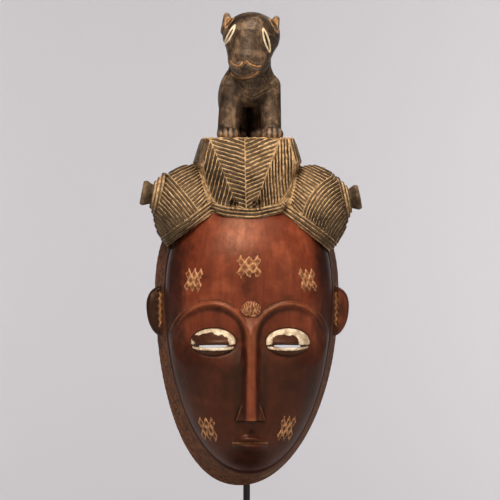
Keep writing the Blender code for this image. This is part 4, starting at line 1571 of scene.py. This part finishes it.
# Dense tropical hardwood, carved with an adze and knife, rubbed smooth and stained with plant dye and
# oil: a deep red-brown with a soft, broad gloss, worn pale on edges, with pale dust left in the cuts.
STAINED_FACE = WoodFinish(
    name="oiled_red_brown_hardwood",
    dark="#421a10", middle="#70321e", light="#91492f",
    cloud_mm=44.0, grain_mm=5.0, grain_share=0.34, pore_mm=0.9,
    roughness=0.43, shine=0.52, sheen="#ffccaa", tool_mm=9.0, tool_height_mm=0.30,
    coats=(
        Coat("edge", "#8a5030", "#a86a44", 0.62, 0.95, 0.20, 5.0, 0.50, cover=0.45),
        # Painted shade: darkens the creases, where the surface bends inwards, as if shadowed.
        Coat("edge", "#170a06", "#241008", 0.42, 0.12, 0.10, 4.0, 0.60, cover=0.85),
        # Darker stain with painted shade on the cheeks, temples and lower face.
        Coat("patina_and_shade", "#140602", "#34110a", 0.28, 0.98, 0.80, 12.0, 0.45, cover=0.88),
        # Painted shade on the left ear and beside the nose.
        Coat("painted_shade", "#0f0603", "#1c0c07", 0.30, 0.80, 0.30, 6.0, 0.48, cover=0.80),
        Coat("band", "#4a2a16", "#7a4c2c", 0.35, 0.65, 0.30, 4.0, 0.74, cover=0.95),
        Coat("fleck", "#1d120c", "#2b1b12", 0.35, 0.65, 0.05, 2.0, 0.75),
        Coat("bare", "#5b4330", "#87674a", 0.3, 0.7, 0.2, 9.0, 0.80),
        Coat("crease", "#80552f", "#b98a5c", 0.40, 0.90, 0.45, 1.6, 0.80, cover=0.8),
        Coat("scar", "#8a5c3b", "#cf9f72", 0.28, 0.74, 0.60, 2.0, 0.82, cover=0.92),
        Coat("lid_wood", "#24120b", "#3d2115", 0.40, 0.70, 0.10, 3.0, 0.50, cover=0.8),
        Coat("lid", "#b09a7c", "#efe0c2", 0.42, 0.56, 0.55, 3.4, 0.88, height_mm=0.18),
    ),
)

# The same wood darkened with soot and oil on the hair: rubbed grey-brown ridges, tan earth in the cuts.
SOOTED_HAIR = WoodFinish(
    name="sooted_carved_hair",
    dark="#140f0a", middle="#261d15", light="#403225",
    cloud_mm=16.0, grain_mm=4.0, grain_share=0.35, pore_mm=0.9,
    roughness=0.56, shine=0.35, sheen="#ffe2c4", tool_mm=6.0, tool_height_mm=0.25,
    coats=(
        Coat("smooth", "#3d3023", "#6e5b45", 0.35, 0.65, 0.30, 7.0, 0.55, cover=0.85),
        Coat("edge", "#5a4a36", "#8a7556", 0.58, 0.90, 0.30, 4.0, 0.60, cover=0.50, drift=0.3),
        Coat("bare", "#5b4330", "#87674a", 0.3, 0.7, 0.2, 9.0, 0.80),
        Coat("cut", "#8a6a45", "#d8b78a", 0.30, 0.66, 0.42, 2.2, 0.88, cover=0.95, drift=0.55),
    ),
)

# The same wood blackened on the animal, with painted shade near black in its hollows; rubbed to brown where
# hands and cloth touch it, with cream earth in the eye lines and tan on the worn muzzle, ears and paws.
RUBBED_LEOPARD = WoodFinish(
    name="rubbed_black_brown_wood",
    dark="#1a140f", middle="#443527", light="#816850",
    cloud_mm=11.0, grain_mm=2.4, grain_share=0.50, pore_mm=0.9,
    roughness=0.44, shine=0.45, sheen="#ffe8d2", tool_mm=5.0, tool_height_mm=0.45,
    coats=(
        Coat("edge", "#7a6048", "#b59b80", 0.53, 0.88, 0.50, 2.6, 0.50, cover=0.62, drift=0.3),
        # Painted shade: darkens the creases, where the surface bends inwards, as if shadowed.
        Coat("edge", "#0d0a08", "#19120e", 0.44, 0.18, 0.12, 4.0, 0.65, cover=0.9),
        Coat("socket", "#2c1c12", "#3d2818", 0.4, 0.8, 0.1, 3.0, 0.45),
        Coat("tan", "#9a6c40", "#cf9f6a", 0.38, 0.78, 0.50, 2.2, 0.75, cover=0.9),
        Coat("cut", "#6d5236", "#a08157", 0.40, 0.90, 0.60, 2.2, 0.82, cover=0.60),
        Coat("cream", "#cdb893", "#f2e4c6", 0.30, 0.60, 0.20, 1.6, 0.85),
    ),
)


@dataclass(frozen=True)
class BlackedSteel:
    """Mild steel bar and plate, ground and given a satin black paint: even, with a soft low sheen."""

    name: str = "satin_black_steel"
    dark: str = "#121214"
    light: str = "#202022"
    mottle_mm: float = 3.0
    grain_mm: float = 0.5

    def material(self) -> bpy.types.Material:
        """Builds the finish as a node material."""
        return dressed(self.name, self.surface)

    def surface(self, tree: Tree) -> dict:
        """Adds the finish's nodes.

        Args:
            tree: the material's node tree.

        Returns:
            What goes into the shader's inputs.
        """
        place = add(tree, "TexCoord", {}, output=3)
        mottle = add(tree, "TexNoise", patches(place, self.mottle_mm, 3.0))
        grain = add(tree, "TexNoise", patches(place, self.grain_mm, 2.0))
        colour = add(tree, "Mix", {0: mottle, 6: linear(self.dark), 7: linear(self.light)}, **COLOUR_MIX)
        rough = add(tree, "MapRange", {0: mottle, 1: 0.3, 2: 0.7, 3: 0.36, 4: 0.50})
        height = add(tree, "Math", {0: grain, 1: 0.03}, operation="MULTIPLY")
        bump = add(tree, "Bump", {"Height": height, "Distance": MM, "Strength": 1.0})
        return {"Base Color": colour, "Roughness": rough, "Normal": bump}


class Carving:
    """The mask: one block of wood, as three meshes whose seams are the carving's own edges."""

    def __init__(self, place: Place) -> None:
        """Sets out the three forms.

        Args:
            place: where the mask lies.
        """
        self.place = place
        self.face = FaceBlock()
        self.hair = Coiffure(self.face)
        self.leopard = Leopard()

    def bare(self, x: Array, d: Array, z: Array) -> Array:
        """1 on the unstained wood of the back and the hollow."""
        in_hollow = smooth_step(3.4, 2.2, np.abs(self.face.hollow(x, d, z)))
        return np.maximum(in_hollow, smooth_step(1.2, 0.4, d))

    def on_skin(self, x: Array, d: Array, z: Array) -> Array:
        """1 on the stained and handled wood, in front of the hollow."""
        return 1.0 - self.bare(x, d, z)

    def on_band(self, x: Array, d: Array, z: Array) -> Array:
        """1 on the sloping band outside the face's edge.

        Args:
            x, d, z: where it is read.

        Returns:
            Values from 0 to 1.
        """
        low = smooth_step(self.face.band_depth + 1.2, self.face.band_depth - 0.6, d)
        beyond = smooth_step(0.985, 1.0, self.face.plate.reach(x, z))
        return low * beyond * self.on_skin(x, d, z) * (self.face.ear(x, d, z) > 0.8)

    def flecks(self, x: Array, d: Array, z: Array) -> Array:
        """1 on the small dark flecks and pits of the band's bare wood."""
        wander = waver(x + 2.0 * d, z, 7.0, 21) + waver(x - 2.0 * d, z, 4.0, 22)
        return self.on_band(x, d, z) * smooth_step(0.85, 1.3, wander)

    def scar_dust(self, x: Array, d: Array, z: Array) -> Array:
        """1 in the cuts between the scar marks' diamonds.

        Args:
            x, d, z: where it is read.

        Returns:
            Values from 0 to 1.
        """
        dust = np.zeros(x.shape)
        for patch in self.face.scars:
            dust = np.maximum(dust, patch.inside(x, z) * (1.0 - 0.70 * patch.diamonds(x, z)))
        tuft = self.face.tuft(x, z) ** 0.3 * (0.30 + 0.60 * self.face.tuft_lines(x, z))
        return np.maximum(dust, tuft) * (d > 50.0) * self.on_skin(x, d, z)

    def crease_dust(self, x: Array, d: Array, z: Array) -> Array:
        """1 in the line between the lips, on the wings of the nose and along the brows.

        Args:
            x, d, z: where it is read.

        Returns:
            Values from 0 to 1.
        """
        face = self.face
        lips = groove(z - face.mouth_z, 1.6) * (np.abs(x) < face.mouth_half)
        brow = groove(np.hypot(np.abs(x) - face.brow_radius, z - face.eye_z) - face.brow_radius - 2.0, 1.3)
        brow = brow * smooth_step(face.eye_z + 4.0, face.eye_z + 12.0, z) * smooth_step(11.0, 17.0, np.abs(x))
        wing_up = np.clip(1.0 - np.clip(z - face.nose_z, 0.0, None) / 17.0, 0.0, 1.0)
        wing = groove(np.abs(x) - 6.0 - 7.4 * wing_up**0.6, 1.4) * (z > face.nose_z - 1.0) * (wing_up > 0.05)
        dust = np.maximum.reduce([lips, 0.75 * brow, 0.7 * wing, face.ear_cut(x, d, z)])
        return dust * self.on_skin(x, d, z)

    def lid_paint(self, x: Array, d: Array, z: Array) -> Array:
        """1 on the kaolin of the lids, less beside the slit where it has worn off.

        Args:
            x, d, z: where it is read.

        Returns:
            Values from 0 to 1.
        """
        above = z - self.face.slit_z(x)
        wide = np.where(x < 0.0, 1.16, 1.0)
        across = (np.abs(x) - self.face.eye_x + 2.5 * np.sign(x)) / (13.5 * wide)
        worn = np.hypot(across, (above - 3.0) / (7.4 * wide)) + 0.13 * waver(x, z, 11.0, 31)
        whole = np.where(x < 0.0, 0.62, 0.67)
        upper = whole * (1.0 - 0.85 * smooth_step(1.22, 0.70, worn))
        lower = 0.24 + 0.56 * bell(above, -3.0, 1.3)
        return self.lids(x, d, z) * np.where(above > 0.0, upper, lower)

    def lids(self, x: Array, d: Array, z: Array) -> Array:
        """1 on the lids."""
        return smooth_step(1.06, 0.96, self.face.lid_level(x, z)) * (d > 60.0) * self.on_skin(x, d, z)

    def patina_and_shade(self, x: Array, d: Array, z: Array) -> Array:
        """Darker stain and painted shade: 1 on the cheeks, temples and lower face, 0 on the forehead.

        Args:
            x, d, z: where it is read.

        Returns:
            Values from 0 to 1.
        """
        low = smooth_step(200.0, 120.0, z + 0.2 * np.abs(x))
        side = smooth_step(46.0, 74.0, np.abs(x))
        # Painted light: the nose ridge keeps a painted highlight, and the right ear stays lighter than the
        # left.
        ridge_highlight = smooth_step(6.5, 2.0, np.abs(x)) * smooth_step(172.0, 150.0, z)
        ridge = 1.0 - 0.95 * ridge_highlight * (z > self.face.nose_z)
        lit_right_ear = 1.0 - 0.45 * smooth_step(82.0, 88.0, x)
        return np.maximum(0.95 * low, side) * ridge * lit_right_ear * (d > 12.0)

    def painted_shade(self, x: Array, d: Array, z: Array) -> Array:
        """Painted shade: 1 on the left ear and beside the nose, which are darkened as if in shadow."""
        beside = 0.7 * bell(np.abs(x), 13.0, 6.0) * smooth_step(60.0, 80.0, z) * smooth_step(150.0, 125.0, z)
        return np.maximum(smooth_step(-80.0, -85.0, x) * (d > 14.0), beside * (d > 60.0))

    def build_face(self) -> Piece:
        """Builds the face block.

        Returns:
            The finished piece.
        """
        notes = {"band": self.on_band, "fleck": self.flecks, "bare": self.bare, "crease": self.crease_dust,
                 "scar": self.scar_dust, "lid": self.lid_paint, "lid_wood": self.lids, "patina_and_shade": self.patina_and_shade,
                 "painted_shade": self.painted_shade}
        space = ((-104.0, -3.0, -3.0), (104.0, 122.0, 309.0))
        piece = carved("mask_face", self.face.form, space, FACE_STEP, self.place, notes)
        piece.data.materials.append(STAINED_FACE.material())
        return piece

    def build_hair(self) -> Piece:
        """Builds the coiffure.

        Returns:
            The finished piece.
        """
        notes = {"bare": self.bare, "cut": self.hair.cuts, "smooth": self.hair.smooth_hair}
        space = ((-110.0, -3.0, 212.0), (114.0, 108.0, 336.0))
        piece = carved("mask_coiffure", self.hair.form, space, FINE_STEP, self.place, notes)
        piece.data.materials.append(SOOTED_HAIR.material())
        return piece

    def build_leopard(self) -> Piece:
        """Builds the leopard.

        Returns:
            The finished piece.
        """
        leopard = self.leopard
        notes = {
            "cream": lambda x, d, z: groove(leopard.eye_line(x, z), 1.3) * (d > 70.0),
            "socket": lambda x, d, z: leopard.in_eye(x, z) * (d > 70.0),
            "cut": lambda x, d, z: groove(leopard.chest_line(x, z), 1.2) * (d > 60.0),
            "tan": leopard.worn,
        }
        space = ((-36.0, -3.0, 326.0), (38.0, 118.0, 452.0))
        piece = carved("mask_leopard", leopard.form, space, FINE_STEP, self.place, notes)
        piece.data.materials.append(RUBBED_LEOPARD.material())
        return piece


@dataclass
class Stand:
    """The display stand: a bent steel rod with a cross bar, set in a square foot."""

    rod_radius_mm: float = 3.25
    foot_half_mm: float = 75.0
    bend_radius_mm: float = 14.0
    bend_degrees: float = 45.0
    corner_mm: float = 1.2
    corner_segments: int = 3
    end_share: float = 0.2
    sides: int = 32
    bend_steps: int = 12
    sharp_degrees: float = 40.0
    finish: BlackedSteel = field(default_factory=BlackedSteel)

    def build_rod(self) -> Piece:
        """Builds the rod and its cross bar, round and in one piece, in the space of the CAD rod.

        Returns:
            The finished piece.
        """
        low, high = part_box("stand_rod")
        radius = self.bar_radius()
        half_bar = high.x
        bar = Vector((0.0, low.y + radius, high.z - radius))
        back = high.y - radius
        bend = self.bend_radius_mm * MM
        rise = bar.z - (back - bar.y)
        start = rise - bend * math.tan(math.radians(self.bend_degrees) / 2.0)
        path = [Vector((0.0, back, low.z))]
        for i in range(self.bend_steps + 1):
            turn = math.radians(self.bend_degrees) * i / self.bend_steps
            y, z = back - bend * (1.0 - math.cos(turn)), start + bend * math.sin(turn)
            path.append(Vector((0.0, y, z)))
        path.append(bar)
        bm = bmesh.new()
        self.tube(bm, path, radius)
        self.tube(bm, [Vector((-half_bar, bar.y, bar.z)), Vector((half_bar, bar.y, bar.z))], radius)
        return self.finished(bm, "display_rod", "stand_rod")

    def bar_radius(self) -> float:
        """The rod's radius in metres, which grows with the CAD foot."""
        return self.rod_radius_mm * MM * (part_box("stand_foot")[1].x / (self.foot_half_mm * MM))

    def tube(self, bm: bmesh.types.BMesh, path: list, radius: float) -> None:
        """Adds a round bar with slightly rounded ends along a path.

        Args:
            bm: the mesh that it joins.
            path: the points of its middle line.
            radius: its radius in metres.
        """
        rings = []
        end = len(path) - 1
        first, last = (path[1] - path[0]).normalized(), (path[end] - path[end - 1]).normalized()
        inset, narrow = radius * self.end_share, radius * (1.0 - self.end_share)
        stations = [(path[0], 0, narrow), (path[0] + first * inset, 0, radius)]
        stations += [(point, i, radius) for i, point in enumerate(path)][1:end]
        stations += [(path[end] - last * inset, end, radius), (path[end], end, narrow)]
        turns = [2.0 * math.pi * k / self.sides for k in range(self.sides)]
        for point, i, size in stations:
            along = (path[min(i + 1, end)] - path[max(i - 1, 0)]).normalized()
            right = Vector((1.0, 0.0, 0.0)) if abs(along.x) < 0.9 else Vector((0.0, 1.0, 0.0))
            up = along.cross(right).normalized()
            out = [up.cross(along) * math.cos(turn) + up * math.sin(turn) for turn in turns]
            rings.append([bm.verts.new(point + way * size) for way in out])
        for a, b in zip(rings, rings[1:]):
            for k in range(self.sides):
                following = (k + 1) % self.sides
                bm.faces.new((a[k], a[following], b[following], b[k]))
        bm.faces.new(rings[0])
        bm.faces.new(rings[-1])

    def build_foot(self) -> Piece:
        """Builds the foot plate, with softened edges, in the space of the CAD foot.

        Returns:
            The finished piece.
        """
        low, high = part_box("stand_foot")
        bm = bmesh.new()
        bmesh.ops.create_cube(bm, size=1.0)
        for vert in bm.verts:
            vert.co = Vector(high[i] if vert.co[i] > 0.0 else low[i] for i in range(3))
        bmesh.ops.bevel(bm, geom=bm.edges[:], offset=self.corner_mm * MM, segments=self.corner_segments,
                        profile=0.5, affect="EDGES")
        return self.finished(bm, "foot_plate", "stand_foot")

    def finished(self, bm: bmesh.types.BMesh, name: str, node: str) -> Piece:
        """Makes a piece of steel from a mesh.

        Args:
            bm: the mesh, which is freed.
            name: the piece's name.
            node: the CAD node that it stands for.

        Returns:
            The piece.
        """
        bmesh.ops.recalc_face_normals(bm, faces=bm.faces[:])
        mesh = bpy.data.meshes.new(name)
        bm.to_mesh(mesh)
        bm.free()
        mesh.shade_smooth()
        mesh.set_sharp_from_angle(angle=math.radians(self.sharp_degrees))
        piece = placed(name, mesh)
        mesh.materials.append(self.finish.material())
        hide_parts(node)
        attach(piece, "root")
        return piece


@dataclass(frozen=True)
class SoftBox:
    """One soft light: where it stands, what it is turned to, its width and height, power and colour."""

    name: str
    at: tuple
    to: tuple
    size: tuple
    power: float
    colour: str


@dataclass
class Studio:
    """A pale floor, a plain paper backdrop, soft lights and the camera."""

    camera_at: tuple = (-0.196, -4.496, 0.325)
    camera_turn: float = -2.5
    lens: float = 342.2
    sensor: float = 36.0
    shift: float = 0.002
    room_colour: str = "#dfe2e6"
    room_strength: float = 0.07
    lights: tuple = (
        SoftBox("key", (-0.42, -1.90, 1.95), (0.0, 0.0, 0.36), (1.0, 0.8), 66.0, "#fff2e6"),
        SoftBox("top", (0.10, -0.55, 2.20), (0.0, -0.02, 0.40), (0.9, 0.6), 22.0, "#fff6ee"),
        SoftBox("fill", (1.9, -2.2, 0.75), (0.0, 0.0, 0.30), (0.9, 1.1), 8.0, "#ffeede"),
        SoftBox("left", (-2.0, 0.35, 0.40), (0.0, 0.0, 0.25), (0.3, 1.2), 0.5, "#f0ecee"),
        SoftBox("right", (2.0, 0.35, 0.40), (0.0, 0.0, 0.25), (0.3, 1.2), 0.5, "#fff0ea"),
        SoftBox("back", (1.3, 2.9, 1.7), (0.0, 0.0, 0.30), (1.2, 1.2), 7.0, "#fff6ee"),
        SoftBox("drop_left", (-3.0, 4.8, 0.4), (0.0, 7.0, 0.4), (1.0, 1.0), 88.0, "#ffffff"),
        SoftBox("drop_right", (3.0, 4.8, 0.4), (0.0, 7.0, 0.4), (1.0, 1.0), 88.0, "#ffffff"),
    )
    floor_colour: str = "#c4c4c8"
    floor_reach: tuple = (8.0, 1.15, -0.36)
    drop_y: float = 7.0
    paper_colour: str = "#c9c6c8"

    def build(self) -> None:
        """Builds the floor, the backdrop, the lights and the camera."""
        self.sheets()
        for box in self.lights:
            self.light(box)
        world = bpy.data.worlds.new("soft_room")
        world.use_nodes = True
        room = world.node_tree.nodes["Background"]
        room.inputs["Color"].default_value = linear(self.room_colour)
        room.inputs["Strength"].default_value = self.room_strength
        scene = bpy.context.scene
        scene.world = world
        scene.view_settings.view_transform = "Standard"
        data = bpy.data.cameras.new("camera")
        data.lens, data.sensor_width, data.shift_x = self.lens, self.sensor, self.shift
        camera = placed("camera", data)
        camera.location = self.camera_at
        camera.rotation_euler = (math.radians(90.0), 0.0, math.radians(self.camera_turn))
        scene.camera = camera

    def light(self, box: SoftBox) -> None:
        """Adds a soft box.

        Args:
            box: the light's sizes.
        """
        data = bpy.data.lights.new(box.name, "AREA")
        data.shape = "RECTANGLE"
        data.size, data.size_y = box.size
        data.energy = box.power
        data.color = linear(box.colour)[:3]
        lamp = placed(box.name, data)
        lamp.location = box.at
        lamp.rotation_euler = (Vector(box.to) - Vector(box.at)).to_track_quat("-Z", "Y").to_euler()

    @staticmethod
    def matt(name: str, colour: str) -> bpy.types.Material:
        """A matt finish of one plain colour, as of paper or a painted board."""
        surface = {"Base Color": linear(colour), "Roughness": 0.95, "Specular IOR Level": 0.1}
        return dressed(name, lambda tree: surface)

    def sheets(self) -> None:
        """Makes the floor, which falls away behind the object, and the backdrop where it ends."""
        wide, level, fall = self.floor_reach
        back = self.drop_y
        floor = [(x, y, z) for y, z in ((-wide, 0.0), (level, 0.0), (back, fall)) for x in (-wide, wide)]
        self.sheet("pale_floor", floor, self.matt("matt_pale_floor", self.floor_colour))
        drop = [(x, back, z) for z in (fall, wide) for x in (-wide, wide)]
        self.sheet("paper_backdrop", drop, self.matt("matt_backdrop_paper", self.paper_colour))

    @staticmethod
    def sheet(name: str, corners: list, finish: bpy.types.Material) -> None:
        """Makes one sheet of the stage.

        Args:
            name: its name.
            corners: its corners, in pairs from left to right.
            finish: its material.
        """
        mesh = bpy.data.meshes.new(name)
        mesh.from_pydata(corners, [], [(i, i + 1, i + 3, i + 2) for i in range(0, len(corners) - 2, 2)])
        mesh.materials.append(finish)
        sheet = placed(name, mesh)


def main() -> None:
    """Builds the mask and its stand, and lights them."""
    logging.basicConfig(level=logging.INFO, format="%(message)s")
    carving = Carving(Place.of_node("mask"))
    stand = Stand()
    for build in (carving.build_face, carving.build_hair, carving.build_leopard,
                  stand.build_rod, stand.build_foot):
        piece = build()
        log.info("built %s", piece.name)
    Studio().build()


if __name__ == "__main__":
    main()
